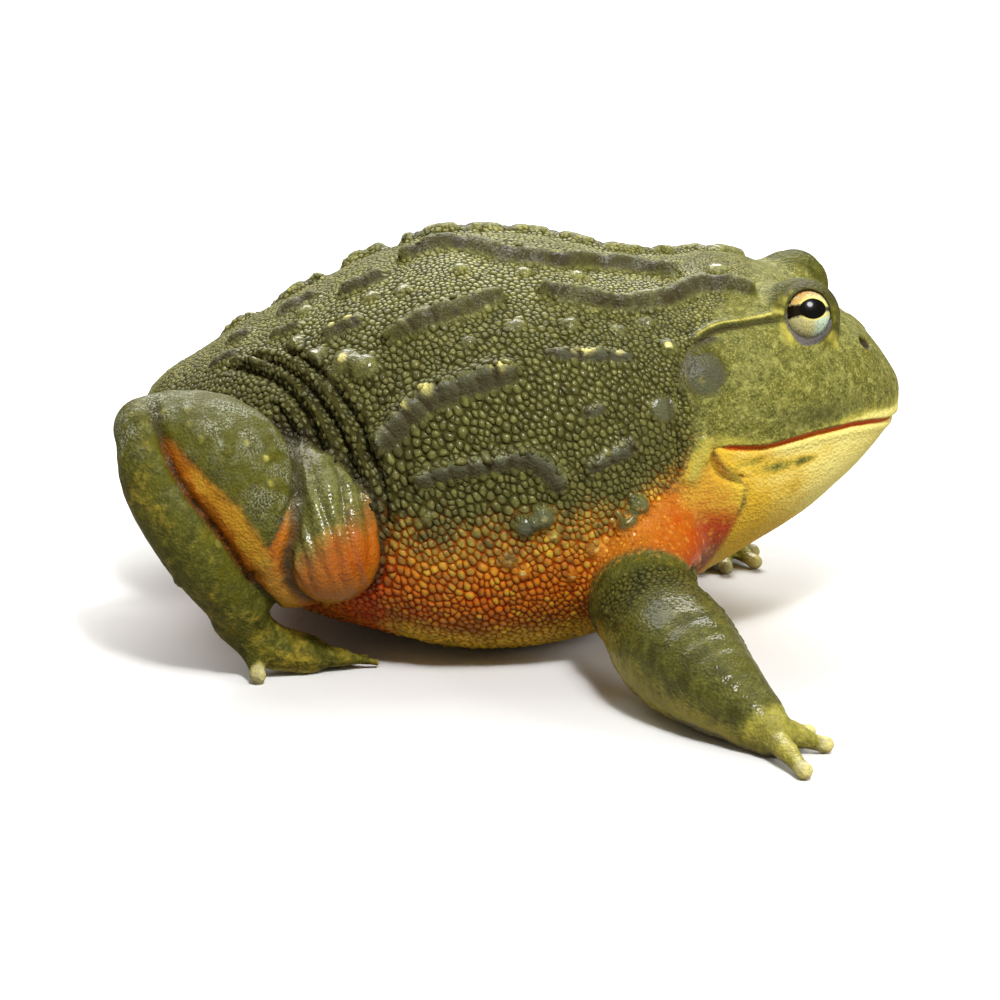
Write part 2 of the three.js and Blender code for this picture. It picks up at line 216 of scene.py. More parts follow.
def digit_chain(knuckle, tip, thick, thin):
    """A finger or toe droops from its knuckle, narrows, and ends in a slightly swollen tip."""
    knuckle, tip = np.array(knuckle, float), np.array(tip, float)
    bend = (knuckle + tip) / 2 + (0, 0, 0.4)
    last_joint = knuckle + (tip - knuckle) * 0.8
    waist = min(thick, thin) * 0.92
    return ((*knuckle, thick), (*bend, (thick + thin) / 2), (*last_joint, waist), (*tip, thin))


def tube_distance(p, tube):
    """Distance to a round tube of changing radius: a run of tapered lengths."""
    points, radii = tube
    found = np.full(len(p), FAR)
    reach = radii.max() + 9
    near = np.flatnonzero(((p > points.min(0) - reach) & (p < points.max(0) + reach)).all(1))
    q = p[near]
    best = np.full(len(q), FAR)
    for a, b, ra, rb in zip(points[:-1], points[1:], radii[:-1], radii[1:]):
        share = np.clip((q - a) @ (b - a) / ((b - a) @ (b - a)), 0, 1)
        gap = np.linalg.norm(q - a - share[:, None] * (b - a), axis=1)
        best = np.minimum(best, gap - ra - share * (rb - ra))
    found[near] = best
    return found


def on_side(chain, side):
    return tuple((x, y * side, z, *rest) for x, y, z, *rest in chain)


limbs = {}
for side in SIDES:
    limbs[side] = {
        name: rounded_chain(on_side(chain, side))
        for name, chain in (
            ("thigh", THIGH), ("shank", SHANK[side]), ("tarsus", TARSUS[side]),
            ("sole", SOLE[side]),
            ("upper_arm", UPPER_ARM[side]), ("forearm", FOREARM[side]), ("palm", PALM[side]),
        )
    }
    for name, digits in (("toes", TOES), ("fingers", FINGERS[side])):
        chains = [on_side(digit_chain(*digit), side) for digit in digits]
        limbs[side][name] = [rounded_chain(chain, 2) for chain in chains]


def limb_distances(p, side, plump=0.0):
    """The distance to each part of one side's arm and leg. plump thickens the digits."""
    parts = {
        name: tube_distance(p, limbs[side][name])
        for name in ("thigh", "shank", "tarsus", "sole", "upper_arm", "forearm", "palm")
    }
    for name in ("toes", "fingers"):
        digits = [tube_distance(p, tube) - plump for tube in limbs[side][name]]
        together = digits[0]
        for digit in digits[1:]:
            together = soft_union(together, digit, 1.0)
        parts[name] = together
    return parts


# The eye sockets: a lid swells over each ball, and an oval opening in it looks out and up.
EYE_CENTRE = {
    side: np.array([(low + high) / 2 / MM for low, high in zip(*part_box(node))])
    for side, node in zip(SIDES, ("eye_right", "eye_left"))
}
EYE_RADIUS = (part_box("eye_right")[1][2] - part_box("eye_right")[0][2]) / 2 / MM
LID_THICK = 0.7
SOCKET_DEPTH = 0.9  # how far the skin in the opening lies under the ball's surface
OPENING_TILT = math.radians(15)  # the opening looks up by this much
OPENING = (4.55, 5.15)  # half its length along the head and half its height
FLOOR_GAP = 0.04  # the skin's lowest points stand this high
EYE_SWELLING = (6.2, 7.0, 5.4)  # half its length, height and depth
# The side of the snout, from under the eye to the nostril: its two ends and their radii.
CANTHUS = ((66.5, 13.0, 65.6, 4.2), (76.5, 9.6, 60.6, 2.6))


def eye_frame(side):
    """The opening's axes: forward, up along the lids, and out of the head."""
    out = np.array((0.0, side * math.cos(OPENING_TILT), math.sin(OPENING_TILT)))
    up = np.array((0.0, -side * math.sin(OPENING_TILT), math.cos(OPENING_TILT)))
    return np.array((1.0, 0, 0)), up, out


def eye_opening(p, side):
    """How far a point lies outside the opening's rim, sideways, and how far out of the head."""
    forward, up, out = eye_frame(side)
    q = p - EYE_CENTRE[side]
    oval = np.hypot(q @ forward / OPENING[0], q @ up / OPENING[1])
    return (oval - 1) * min(OPENING), q @ out, np.linalg.norm(q, axis=1)


def eye_swelling(p, side):
    """The head swells round each eye, nearly as far out as the lids."""
    forward, up, out = eye_frame(side)
    q = p - EYE_CENTRE[side] + 1.8 * forward
    squares = ((q @ axis / size) ** 2 for axis, size in zip((forward, up, out), EYE_SWELLING))
    share = np.sqrt(sum(squares))
    return (share - 1) * EYE_SWELLING[2]


def canthus(p, side):
    """The ridge of flesh between the eye and the nostril, as a tapered length."""
    start, end = (np.array(end[:3]) * (1, side, 1) for end in CANTHUS)
    along = end - start
    share = np.clip((p - start) @ along / (along @ along), 0, 1)
    radius = CANTHUS[0][3] + share * (CANTHUS[1][3] - CANTHUS[0][3])
    return np.linalg.norm(p - start - share[:, None] * along, axis=1) - radius


def body_distance(p, plump=0.0):
    """The whole body: negative inside, 0 on the surface under the folds and granules."""
    whole = trunk_distance(p)
    for side in SIDES:
        part = limb_distances(p, side, plump)
        arm = soft_union(part["upper_arm"], part["forearm"], FILLET["elbow"])
        hand = soft_union(part["palm"], part["fingers"], FILLET["fingers"])
        leg = soft_union(part["thigh"], part["shank"], FILLET["knee"])
        if side < 0:
            loose_skin = np.linalg.norm(p - HEEL_FOLD[:3], axis=1) - HEEL_FOLD[3]
            leg = soft_union(leg, loose_skin, FILLET["heel fold"])
        leg = soft_union(leg, part["tarsus"], FILLET["heel"])
        foot = soft_union(part["sole"], part["toes"], FILLET["toes"])
        whole = soft_union(whole, soft_union(arm, hand, FILLET["wrist"]), FILLET["shoulder"])
        whole = soft_union(whole, soft_union(leg, foot, FILLET["ankle"]), FILLET["hip"])
        rim, outward, from_centre = eye_opening(p, side)
        whole = soft_union(whole, canthus(p, side), FILLET["canthus"])
        whole = soft_union(whole, eye_swelling(p, side), FILLET["eye swelling"])
        whole = soft_union(whole, from_centre - EYE_RADIUS - LID_THICK, FILLET["lid"])
        pit = np.maximum(np.maximum(rim, EYE_RADIUS - SOCKET_DEPTH - from_centre), -outward)
        whole = -soft_union(-whole, pit, FILLET["socket rim"])
    return np.maximum(whole, FLOOR_GAP - p[:, 2])


# ---- The skin's mesh ----
# One hide covers the whole body. It is meshed from the form above, finer on the head, around the
# eyes, along the mouth and on the digits, where its folds and edges are small.
GRID_STEP = 1.7  # of the first, coarse mesh
SKIN_MARGIN = 3.0  # by which the grid is larger than the solids
FARTHEST_PULL = 1.2  # the most that a point moves at a time


def surface_net(distance, low, high, step):
    """A closed mesh of the surface where distance is zero, with one point in each crossed cell."""
    axes = [np.arange(a, b + step, step) for a, b in zip(low, high)]
    grid = np.stack(np.meshgrid(*axes, indexing="ij"), -1)
    value = distance(grid.reshape(-1, 3)).reshape(grid.shape[:3])
    inside = value < 0
    corners = list(np.ndindex(2, 2, 2))
    cells = np.array(inside.shape) - 1
    window = lambda corner: tuple(slice(c, c + n) for c, n in zip(corner, cells))
    count = sum(inside[window(corner)].astype(int) for corner in corners)
    crossed = np.argwhere((count > 0) & (count < 8))
    number = np.full(cells, -1)
    number[tuple(crossed.T)] = np.arange(len(crossed))
    total, hits = np.zeros((len(crossed), 3)), np.zeros(len(crossed))
    for a in corners:
        for axis in range(3):
            if a[axis]:
                continue
            b = tuple(c + (k == axis) for k, c in enumerate(a))
            va, vb = value[tuple((crossed + a).T)], value[tuple((crossed + b).T)]
            cut = (va < 0) != (vb < 0)
            share = np.where(cut, va / np.where(cut, va - vb, 1), 0)
            place = crossed + a + share[:, None] * (np.array(b) - a)
            total += np.where(cut[:, None], place, 0)
            hits += cut
    points = np.array(low) + step * total / hits[:, None]
    quads = []
    for axis in range(3):
        u, v = (axis + 1) % 3, (axis + 2) % 3
        here = [slice(1, -1)] * 3
        here[axis] = slice(0, -1)
        there = list(here)
        there[axis] = slice(1, None)
        change = inside[tuple(here)].astype(int) - inside[tuple(there)]
        at = np.argwhere(change != 0)
        sign = change[tuple(at.T)]
        at = at + [int(k != axis) for k in range(3)]
        ring = []
        for du, dv in ((-1, -1), (0, -1), (0, 0), (-1, 0)):
            cell = at.copy()
            cell[:, u] += du
            cell[:, v] += dv
            ring.append(number[tuple(cell.T)])
        quad = np.column_stack(ring)
        quad[sign < 0] = quad[sign < 0][:, ::-1]
        quads.append(quad)
    quads = np.vstack(quads)
    return points, np.vstack([quads[:, [0, 1, 2]], quads[:, [0, 2, 3]]])


def pull_to_surface(points, distance, rounds=3):
    """Moves points onto the surface along the distance's slope, found from four places around."""
    reach = 0.04
    probes = np.array(((1, -1, -1), (-1, -1, 1), (-1, 1, -1), (1, 1, 1))) * reach
    for _ in range(rounds):
        values = [distance(points + probe) for probe in probes]
        slope = sum(v[:, None] * probe for v, probe in zip(values, probes)) / (4 * reach**2)
        steepness = np.maximum((slope**2).sum(1), 0.05)
        move = slope * (np.mean(values, 0) / steepness)[:, None]
        length = np.linalg.norm(move, axis=1, keepdims=True)
        points = points - move * np.minimum(1, FARTHEST_PULL / np.maximum(length, 1e-9))
    return points


def relax(points, triangles):
    """Each point half way to the middle of its neighbours."""
    a, b = triangles[:, [0, 1, 2]].ravel(), triangles[:, [1, 2, 0]].ravel()
    count = np.bincount(a, minlength=len(points))[:, None]
    middle = np.column_stack([np.bincount(a, points[b, k], len(points)) for k in range(3)]) / count
    return (points + middle) / 2


def split_long_edges(points, triangles, longest):
    """Halves each edge that is longer than longest says for its middle, and mends the triangles."""
    sides = np.sort(triangles[:, [[0, 1], [1, 2], [2, 0]]].reshape(-1, 2), axis=1)
    edges, which = np.unique(sides, axis=0, return_inverse=True)
    middle = points[edges].mean(1)
    long = np.linalg.norm(points[edges[:, 0]] - points[edges[:, 1]], axis=1) > longest(middle)
    new = np.full(len(edges), -1)
    new[long] = len(points) + np.arange(long.sum())
    mids = new[which.ravel()].reshape(-1, 3)
    marks = (mids >= 0).sum(1)
    # Turn each triangle so that its halved edges come first.
    only_one = np.argmax(mids >= 0, 1)
    after_whole = (np.argmax(mids < 0, 1) + 1) % 3
    first = np.where(marks == 1, only_one, np.where(marks == 2, after_whole, 0))
    turn = (first[:, None] + np.arange(3)) % 3
    a, b, c = np.take_along_axis(triangles, turn, 1).T
    m0, m1, m2 = np.take_along_axis(mids, turn, 1).T
    rows = lambda keep, *corners: np.column_stack([corner[keep] for corner in corners])
    none, one, two, three = (marks == k for k in range(4))
    made = np.vstack([
        rows(none, a, b, c),
        rows(one, a, m0, c), rows(one, m0, b, c),
        rows(two, m0, b, m1), rows(two, a, m0, m1), rows(two, a, m1, c),
        rows(three, a, m0, m2), rows(three, m0, b, m1), rows(three, m2, m1, c),
        rows(three, m0, m1, m2),
    ])
    return np.vstack([points, middle[long]]), made


MOUTH_LINE = np.array((  # x and height, from the corner to the tip of the snout
    (45, 48.5), (51.6, 47.8), (55.5, 47.6), (59.5, 48.1), (63.5, 48.7),
    (67.5, 49.2), (75.8, 49.3), (80.2, 48.7), (84.6, 47.5), (88, 46.8),
))
MOUTH_CORNER = 45.5  # how far along the body the mouth begins
NOSTRIL = np.array((78.0, 10.6, 64.3))


def mouth_height(x):
    return np.interp(x, *MOUTH_LINE.T)


def longest_edge(p):
    """The skin's finest edge length wanted at each place."""
    x, y, z = p.T
    aside = np.abs(y)
    finest = np.full(len(p), 2.8)
    finest[x > 34] = 1.4  # the head and chest
    finest[(x > 52) & (z > 44)] = 1.1  # the face
    finest[(z > 40) & (z < 88) & (x > 37) & (x < 49) & (aside > 30)] = 0.95  # the ear drum
    finest[(x > 38) & (np.abs(z - mouth_height(x)) < 2.2) & (z > 40)] = 0.62  # the lips
    finest[(x > -50) & (x < -24) & (aside > 32) & (z > 8) & (z < 66)] = 1.05  # the knee
    finest[z < 9] = np.where(np.hypot(x[z < 9] - 6, y[z < 9]) > 60, 0.9, 2.2)  # digits, belly
    by_nostril = np.linalg.norm(np.column_stack([x, aside, z]) - NOSTRIL, axis=1) < 2.6
    finest[by_nostril] = 0.42
    for side in SIDES:
        by_eyelids = np.abs(eye_opening(p, side)[2] - EYE_RADIUS) < 3.2
        finest[by_eyelids] = 0.55
    return finest


low, high = (np.array(corner) / MM for corner in cad_box)
points, triangles = surface_net(
    lambda p: body_distance(p, plump=0.5), low - SKIN_MARGIN, high + SKIN_MARGIN, GRID_STEP
)
for _ in range(3):
    points = pull_to_surface(relax(points, triangles), body_distance, 2)
for _ in range(3):
    points, triangles = split_long_edges(points, triangles, longest_edge)
    points = pull_to_surface(relax(points, triangles), body_distance, 2)


# ---- The skin's folds and markings ----
# The hide is loose and thick: long glandular ridges on the back, warts on the flanks, wrinkles
# where the leg is drawn up, a cleft mouth, and a round ear drum behind it.
COAT_DEPTH = 0.45  # the skin lies this far under the tops of its granules
# Ridges along each side: the path as (x, angle above the widest line in degrees, half width),
# then the height, how dark the face below is (its own brown and painted shade), the length of its
# blocks, and where along it the crest is cream, as (share of the length, spread in mm).
RIDGES = (
    (
        (
            (-25, 79, 1.4), (-16, 82, 3.0), (-8, 81, 3.2), (0, 76, 3.2), (10, 74.5, 3.2),
            (22, 79.5, 3.2), (30, 78.5, 2.8), (39, 72, 1.2),
        ),
        2.8, 0.8, 11, (),
    ),
    (
        (
            (6, 60, 1.4), (13, 58.5, 2.8), (19.5, 57, 2.8), (26, 56, 3.0), (33, 57.5, 3.4),
            (41, 62, 3.6), (47, 61, 3.0), (55, 55.5, 0.9),
        ),
        3.0, 0.8, 12, (),
    ),
    (((-27, 45, 2.2), (-18, 51, 3.7), (-11, 53.5, 3.7), (0, 58, 1.9)), 2.8, 0.8, 5.0, ()),
    (
        (
            (-29, 18, 2.8), (-22, 27, 4.2), (-17, 31.5, 4.3), (-11, 33.5, 4.2), (-3, 36, 4.1),
            (4, 35, 2.8),
        ),
        2.9, 0.55, 4.4, ((0.3, 1.4), (0.45, 2.2), (0.86, 3.2)),
    ),
    (
        (
            (-21, 12, 2.0), (-14, 15, 2.9), (-9, 16, 2.9), (-2, 16.5, 2.9), (5, 16.5, 3.3),
            (11, 11.5, 3.6), (12.5, 5, 1.9),
        ),
        1.9, 0.45, 4.0, (),
    ),
    (
        ((7, 39.5, 1.0), (14, 38.8, 2.0), (20, 38.5, 2.0), (28, 36, 1.0)),
        1.2, 0.35, 6, ((0.45, 4.0), (0.8, 1.4)),
    ),
    (((15, 24, 1.8), (22, 25, 1.8)), 0.8, 0.3, 4, ()),
    (((15.5, 11, 2.2), (28, 14.5, 2.8)), 1.2, 0.35, 5, ()),
    (((-38, 71, 2.4), (-26, 74, 3.0)), 2.1, 1.0, 5, ()),
    (((-52, 78, 2.2), (-41, 79, 2.6)), 1.8, 1.0, 5, ()),
    (((-63, 72, 2.0), (-56, 75, 2.2)), 1.4, 0.9, 4, ()),
    (((-41, 51, 2.4), (-30.5, 55, 2.8)), 2.1, 0.7, 3.8, ((0.35, 1.3), (0.7, 1.6))),
    (((-53, 60, 2.0), (-44, 61, 2.2)), 1.5, 0.7, 3.5, ()),
    (((-66, 55, 1.8), (-58, 58, 2.0)), 1.2, 0.6, 3.5, ()),
)
# Single warts: x, angle, radius, height, and how cream and how grey each is.
WARTS = (
    (-34.2, 40.2, 3.0, 1.9, 0.75, 0.1), (-30.2, 38.0, 3.0, 2.0, 0.35, 0.2),
    (34.6, 36.8, 1.7, 0.8, 1.0, 0.0), (33.3, 19, 3.0, 0.8, 0.1, 0.6),
    (4.0, 0.6, 2.3, 1.9, 0.2, 0.85), (7.6, 1.8, 2.5, 2.1, 0.4, 0.6),
    (28.0, -3.4, 2.4, 2.3, 0.4, 0.45), (25.6, -6.4, 2.5, 2.4, 0.6, 0.35),
    (0.6, -6.6, 1.8, 0.9, 0.5, 0.1),
    (19, -9.3, 1.9, 0.9, 0.6, 0.0), (-40.5, 44, 2.0, 1.1, 0.4, 0.1),
    (-37.5, 36, 1.7, 0.9, 0.3, 0.2),
    (-46, 51, 1.9, 1.0, 0.2, 0.2), (-54, 47, 1.8, 0.9, 0.2, 0.2), (-23, 62, 1.8, 0.9, 0.0, 0.3),
    (-30, 63, 1.7, 0.9, 0.1, 0.2), (2, 47, 1.6, 0.7, 0.1, 0.4), (-8, 43, 1.6, 0.8, 0.1, 0.4),
    (14, 47, 1.7, 0.8, 0.1, 0.3), (24, 45, 1.6, 0.8, 0.1, 0.3), (30, 47, 1.6, 0.8, 0.1, 0.3),
    (-45, 69, 1.8, 1.0, 0.1, 0.2), (-10, 68, 1.6, 0.9, 0.0, 0.2), (4, 67, 1.6, 0.8, 0.0, 0.2),
    (16, 68, 1.6, 0.8, 0.0, 0.2), (46, 72, 2.2, 1.1, 0.1, 0.1), (-17, 4, 1.4, 0.6, 0.3, 0.2),
    (10, -3, 1.3, 0.6, 0.6, 0.1), (14, -14, 1.4, 0.5, 0.7, 0.0), (3.5, -10, 1.5, 0.6, 0.7, 0.0),
)
# Folds of loose skin: path as (x, angle, half width), and depth.
FOLDS = (
    (((-62, 49, 0.7), (-55.4, 43, 1.2), (-47, 33, 1.4), (-40, 20, 1.4), (-36, 8, 0.9)), 2.7),
    (((-57, 52, 0.6), (-48, 41, 1.2), (-39.5, 29, 1.4), (-33, 16, 1.4), (-29, 2, 0.9)), 2.5),
    (((-49, 50, 0.6), (-40, 38, 1.1), (-33, 27, 1.2), (-26.5, 12, 1.2), (-24.6, 0, 0.7)), 1.9),
    (((-50, 30, 0.6), (-45, 20, 1.2), (-41, 8, 1.2), (-38, -6, 0.8)), 1.5),
    (((-33, 4, 0.5), (-29.5, -8, 1.1), (-28, -18, 0.8)), 1.0),
    (
        (
            (62, 47, 0.4), (54.8, 42.2, 0.8), (50.3, 39.8, 0.8), (45.9, 38.6, 0.9), (41.6, 36, 1.0),
            (38.2, 31.5, 1.2), (37, 25, 1.1), (37.6, 17, 0.8),
        ),
        0.9,
    ),
    (((36.5, 14, 0.6), (36.8, 6, 0.9), (36.4, -2, 0.8), (35.4, -8, 0.5)), 0.7),
    (((44.6, 1.5, 0.5), (44.2, -3, 0.9), (46, -8, 0.8), (51.3, -14.5, 0.4)), 1.0),
    (((45, -1.6, 0.4), (48, -8.2, 0.6), (53.3, -13.5, 0.3)), 0.6),
    (((33.5, 27, 0.5), (34.8, 18, 0.8), (35.0, 9, 0.6)), 0.5),
)
EAR = {
    side: np.array([(low + high) / 2 / MM for low, high in zip(*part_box(node))]) + (0.2, 0, 0.8)
    for side, node in zip(SIDES, ("ear_right", "ear_left"))
}
EAR_RADIUS = 4.7
# Behind the eye a pale line runs back over the fold, and drops behind the ear drum.
PALE_LINE = (
    (60.5, 48.6, 0.6), (54.8, 44.0, 0.3), (50.3, 41.6, 0.27), (45.9, 40.6, 0.26),
    (41.5, 38.4, 0.26), (38.6, 35.6, 0.18),
)


def on_trunk(x, angle, side):
    """The place on the trunk at an angle above its widest line, in degrees."""
    middle, half, up, down = section_at(x)
    c, s = np.cos(np.radians(angle)), np.sin(np.radians(angle))
    height = np.where(s > 0, up, down)
    power = np.where(s > 0, BACK_ROUNDNESS, BELLY_ROUNDNESS)
    reach = ((np.abs(c) / half) ** power + (np.abs(s) / height) ** power) ** (-1 / power)
    return np.column_stack([x, side * reach * c, middle + reach * s])


def moved(x, angle, side, number):
    """The frog's left side has the same marks as its right, a little moved."""
    if side < 0:
        return x, angle
    return x + 1.3 * math.sin(3.1 * number), angle + 1.1 * math.cos(5.3 * number)


def marked_line(path, side, number):
    """A smooth line on the trunk, its widths, and which way is up across it."""
    chain = [(*moved(x, angle, side, number), 0, width) for x, angle, width in path]
    at, widths = rounded_chain(chain, 5)
    turn = np.radians(at[:, 1])
    up = np.column_stack([0 * turn, -side * np.sin(turn), np.cos(turn)])
    return on_trunk(at[:, 0], at[:, 1], side), widths, up


def across_line(p, line, reach):
    """Where each point near the line lies: which points, how far across it in widths (up is
    positive), and how far along it."""
    places, widths, up = line
    near = np.flatnonzero(((p > places.min(0) - reach) & (p < places.max(0) + reach)).all(1))
    a, b = places[:-1], places[1:]
    along = b - a
    length = np.linalg.norm(along, axis=1)
    start = np.concatenate([[0], np.cumsum(length)[:-1]])
    q = p[near][:, None] - a
    share = np.clip((q * along).sum(2) / length**2, 0, 1)
    off = q - share[..., None] * along
    gap = np.linalg.norm(off, axis=2)
    best = gap.argmin(1)
    rows = np.arange(len(near))
    share, off, gap = share[rows, best], off[rows, best], gap[rows, best]
    width = widths[best] + share * (widths[best + 1] - widths[best])
    across = np.sign((off * up[best]).sum(1)) * gap / width
    return near, across, start[best] + share * length[best], start[-1] + length[-1]


def vertex_normals(p, triangles):
    a, b, c = (p[triangles[:, k]] for k in range(3))
    flat = np.cross(b - a, c - a)
    total = np.column_stack([
        sum(np.bincount(triangles[:, k], flat[:, axis], len(p)) for k in range(3))
        for axis in range(3)
    ])
    return total / np.maximum(np.linalg.norm(total, axis=1, keepdims=True), 1e-12)


def wart_places(side):
    """Each wart's number and its place on one side, with its radius."""
    for number, (x, angle, radius, *_) in enumerate(WARTS):
        x, angle = moved(x, angle, side, number)
        yield number, on_trunk(np.array([x]), np.array([angle]), side)[0], radius


# Small cream tubercles are scattered over the shin: the place, the radius, and how pale.
TUBERCLES_EACH_SIDE = 34
TUBERCLE_GAP = 3.4  # the least between two
draw = np.random.default_rng(5)
facing = vertex_normals(points, triangles)
tubercles = []
for side in SIDES:
    outer = (points[:, 1] * side > 0) & (facing[:, 1] * side > 0.3)
    there = np.flatnonzero(outer & (points[:, 2] > 18))
    gaps = limb_distances(points[there], side)
    on_shin = np.minimum(gaps["shank"], gaps["tarsus"]) < 0.4
    shin = there[on_shin & (trunk_distance(points[there]) > 2)]
    chosen = np.empty((0, 3))
    for place in points[draw.permutation(shin)]:
        apart = (np.linalg.norm(chosen - place, axis=1) > TUBERCLE_GAP).all()
        if len(chosen) < TUBERCLES_EACH_SIDE and apart:
            chosen = np.vstack([chosen, place])
            tubercles.append((place, draw.uniform(0.7, 1.4), draw.uniform(0.2, 0.6)))


def fine_edge(p):
    """The finest edge length wanted at the pale line, the tubercles and the leg's crease."""
    finest = np.full(len(p), 9.0)
    for place, radius, _ in tubercles:
        finest[np.linalg.norm(p - place, axis=1) < radius * 1.3] = 0.85
    for side in SIDES:
        near, across, *_ = across_line(p, marked_line(PALE_LINE, side, 0), 4)
        finest[near[np.abs(across) < 5]] = 0.45
        there = np.flatnonzero((p[:, 1] * side > 0) & (p[:, 0] < -40) & (np.abs(p[:, 1]) > 30))
        gaps = limb_distances(p[there], side)
        shank, tarsus = gaps["shank"], gaps["tarsus"]
        by_crease = (np.abs(shank - tarsus) < 1.6) & (np.maximum(shank, tarsus) < 3)
        finest[there[by_crease]] = 0.9
    return finest


def ridge_edge(p):
    """The finest edge length wanted near the ridges, warts and pale line."""
    finest = fine_edge(p)
    for side in SIDES:
        for number, (path, *_) in enumerate(RIDGES):
            near, across, *_ = across_line(p, marked_line(path, side, number), 6)
            finest[near[(across > -1.6) & (across < 0.7)]] = 1.15
        for _, centre, radius in wart_places(side):
            finest[np.linalg.norm(p - centre, axis=1) < radius * 1.4] = 0.95
    return finest


for wanted_edge in (ridge_edge, fine_edge):
    points, triangles = split_long_edges(points, triangles, wanted_edge)
    points = pull_to_surface(relax(points, triangles), body_distance, 2)
normals = vertex_normals(points, triangles)
x, y, z = points.T
angle = np.degrees(np.arctan2(z - section_at(x)[0], np.abs(y)))
trunk_gap = trunk_distance(points)
on_body = ramp(1.2, 0.3, trunk_gap)
zero = np.zeros(len(points))
relief = zero.copy()
# What the skin is like at each point, from 0 to 1. Most are colours. Umber is the back's brown,
# mottle the limbs' blotches, and the pale speckle on tops is partly dried skin and partly painted
# sheen and glints. No granules grow where it is smooth or bare.
mark = {
    name: zero.copy()
    for name in (
        "warm", "yellow", "red", "cream", "dark", "grey", "violet", "umber", "mottle", "dry",
        "lemon", "spotted", "smooth", "wet", "bare",
    )
}


def hill(value, width=1):
    """1 where value is zero, and nearly 0 from two widths away on."""
    return np.exp(-((value / width) ** 2))


def wash(where=slice(None), **strengths):
    """Lays markings over what is there, and keeps the stronger of the two."""
    for name, strength in strengths.items():
        mark[name][where] = np.maximum(mark[name][where], strength)


def around(centre, reach):
    """The points nearer to a place than reach, and how far they are."""
    gap = np.linalg.norm(points - centre, axis=1)
    near = np.flatnonzero(gap < reach)
    return near, gap[near]


def fading(at, length, first, last):
    """1 along a line, falling to 0 over the first and the last millimetres of it."""
    return ramp(0, first, at) * ramp(0, last, length - at)


# The limbs' own distances, to tell which part each place belongs to.
limb_gap = {}
for side in SIDES:
    there = np.flatnonzero(y * side > 0)
    for name, gap in limb_distances(points[there], side).items():
        limb_gap.setdefault(name, np.full(len(points), FAR))[there] = gap
part_of = lambda name: ramp(1.4, 0.2, limb_gap[name]) * (1 - on_body)
arm = np.maximum.reduce([part_of(name) for name in ("upper_arm", "forearm")])
hand = np.maximum.reduce([part_of(name) for name in ("palm", "fingers")])
foot = np.maximum.reduce([part_of(name) for name in ("sole", "toes")])
thigh, shank, tarsus = part_of("thigh"), part_of("shank"), part_of("tarsus")
limb = 1 - on_body

# The chest's loose skin hangs over the shoulder down to this line.
arm_gap = np.minimum(limb_gap["upper_arm"], limb_gap["forearm"])
by_arm = ramp(1.4, 0.2, arm_gap) * ramp(62, 57, np.abs(y))
edge_height = np.interp(x, (16, 20, 25, 30, 35, 40, 44), (11, 16, 21, 25.1, 26.9, 25.5, 20))
above_edge = z - edge_height
fillet = ramp(4.5, 2.0, arm_gap) * ramp(3.5, 1.2, trunk_gap) * ramp(62, 57, np.abs(y))
over_shoulder = np.maximum(by_arm, fillet) * ramp(-0.5, 0.5, above_edge)
shoulder_edge = by_arm * hill(above_edge + 0.4, 0.7)
relief += 0.8 * over_shoulder * ramp(8, 2, above_edge) - 0.8 * shoulder_edge
on_body = np.maximum(on_body, over_shoulder)
arm, limb = arm * (1 - over_shoulder), 1 - on_body

# The back and flanks are browner than the head, and the limbs are darker, with blotches.
wash(umber=on_body * ramp(46, 32, x) * ramp(78, 30, angle) * 0.9)
wash(umber=limb * 0.6, mottle=limb)

# The underside: olive turns orange in the creases first and then on the granules, and the belly
# is yellow again.
edge = np.interp(
    x, (-80, -45, -25, 0, 14, 22, 30, 36, 41, 46), (-8, -5, -1, -1, -2, -5.5, -5, -2, 3, 4)
)
# The throat's yellow begins at a slanting line behind the jaw.
throat_edge = np.interp(angle, (-60, -45, -30, -20, -14, -8, 0), (40, 43.6, 49, 52, 52.5, 48, 45))
throat = on_body * ramp(-2.4, 1.2, x - throat_edge) * ramp(0.6, -0.4, z - mouth_height(x))
trunk_side = on_body * (1 - throat) * ramp(54, 46, x + (z - 40) * 0.25)
below = edge - angle
flank_side = on_body * ramp(54, 46, x + (z - 40) * 0.25)
# Painted shade darkens the groove along the lower edge of the chest's fold over the shoulder.
wash(
    warm=flank_side * np.maximum(ramp(-16, 14, below), over_shoulder),
    dark=0.4 * shoulder_edge,
    yellow=trunk_side * ramp(-14, 0, below) * ramp(16, 4, below) * 0.46,
)
wash(yellow=trunk_side * ramp(18, 34, -angle - 0.1 * (x - 10)) * 0.9)
chest_edge = np.interp(x, (8, 22, 30, 36, 41, 46), (0, 8, 10, 10, 5, 0))
chest = ramp(8, 26, x) * ramp(7, 13, below + chest_edge)
wash(red=trunk_side * chest * ramp(64, 40, -angle) * 0.5)
# In front of the shoulder it is golden above and red below, with painted shade low down over the
# arm.
before_shoulder = on_body * (1 - throat)
slanted = z + 0.25 * (x - 40)
on_cheek = ramp(43, 45, x) * ramp(-0.5, 0.5, z - mouth_height(x))
golden = before_shoulder * ramp(32, 40, x) * ramp(31, 38, slanted) * ramp(-6, 3, below)
wash(yellow=golden * (1 - on_cheek) * 0.85)
golden = before_shoulder * ramp(14, 24, x) * ramp(42, 36, x) * ramp(-11, -3, below)
wash(yellow=golden * ramp(7, 0, below) * 0.45)
redder = 0.5 * ramp(14, 30, x) + 0.45 * ramp(35, 44, x)
redder += 0.35 * ramp(28, 36, x) * ramp(31, 24, slanted)
wash(
    red=before_shoulder * np.minimum(redder, 0.95) * ramp(38, 30, slanted) * ramp(-3, 6, below),
    dark=0.4 * before_shoulder * ramp(28, 36, x) * ramp(33, 26, slanted),
    spotted=np.maximum(trunk_side * chest, over_shoulder),
)
wash(red=trunk_side * ramp(-14, -30, x) * ramp(-4, 8, below) * 0.75)
wash(red=trunk_side * ramp(5, 14, below) * ramp(30, 18, -angle) * 0.42)
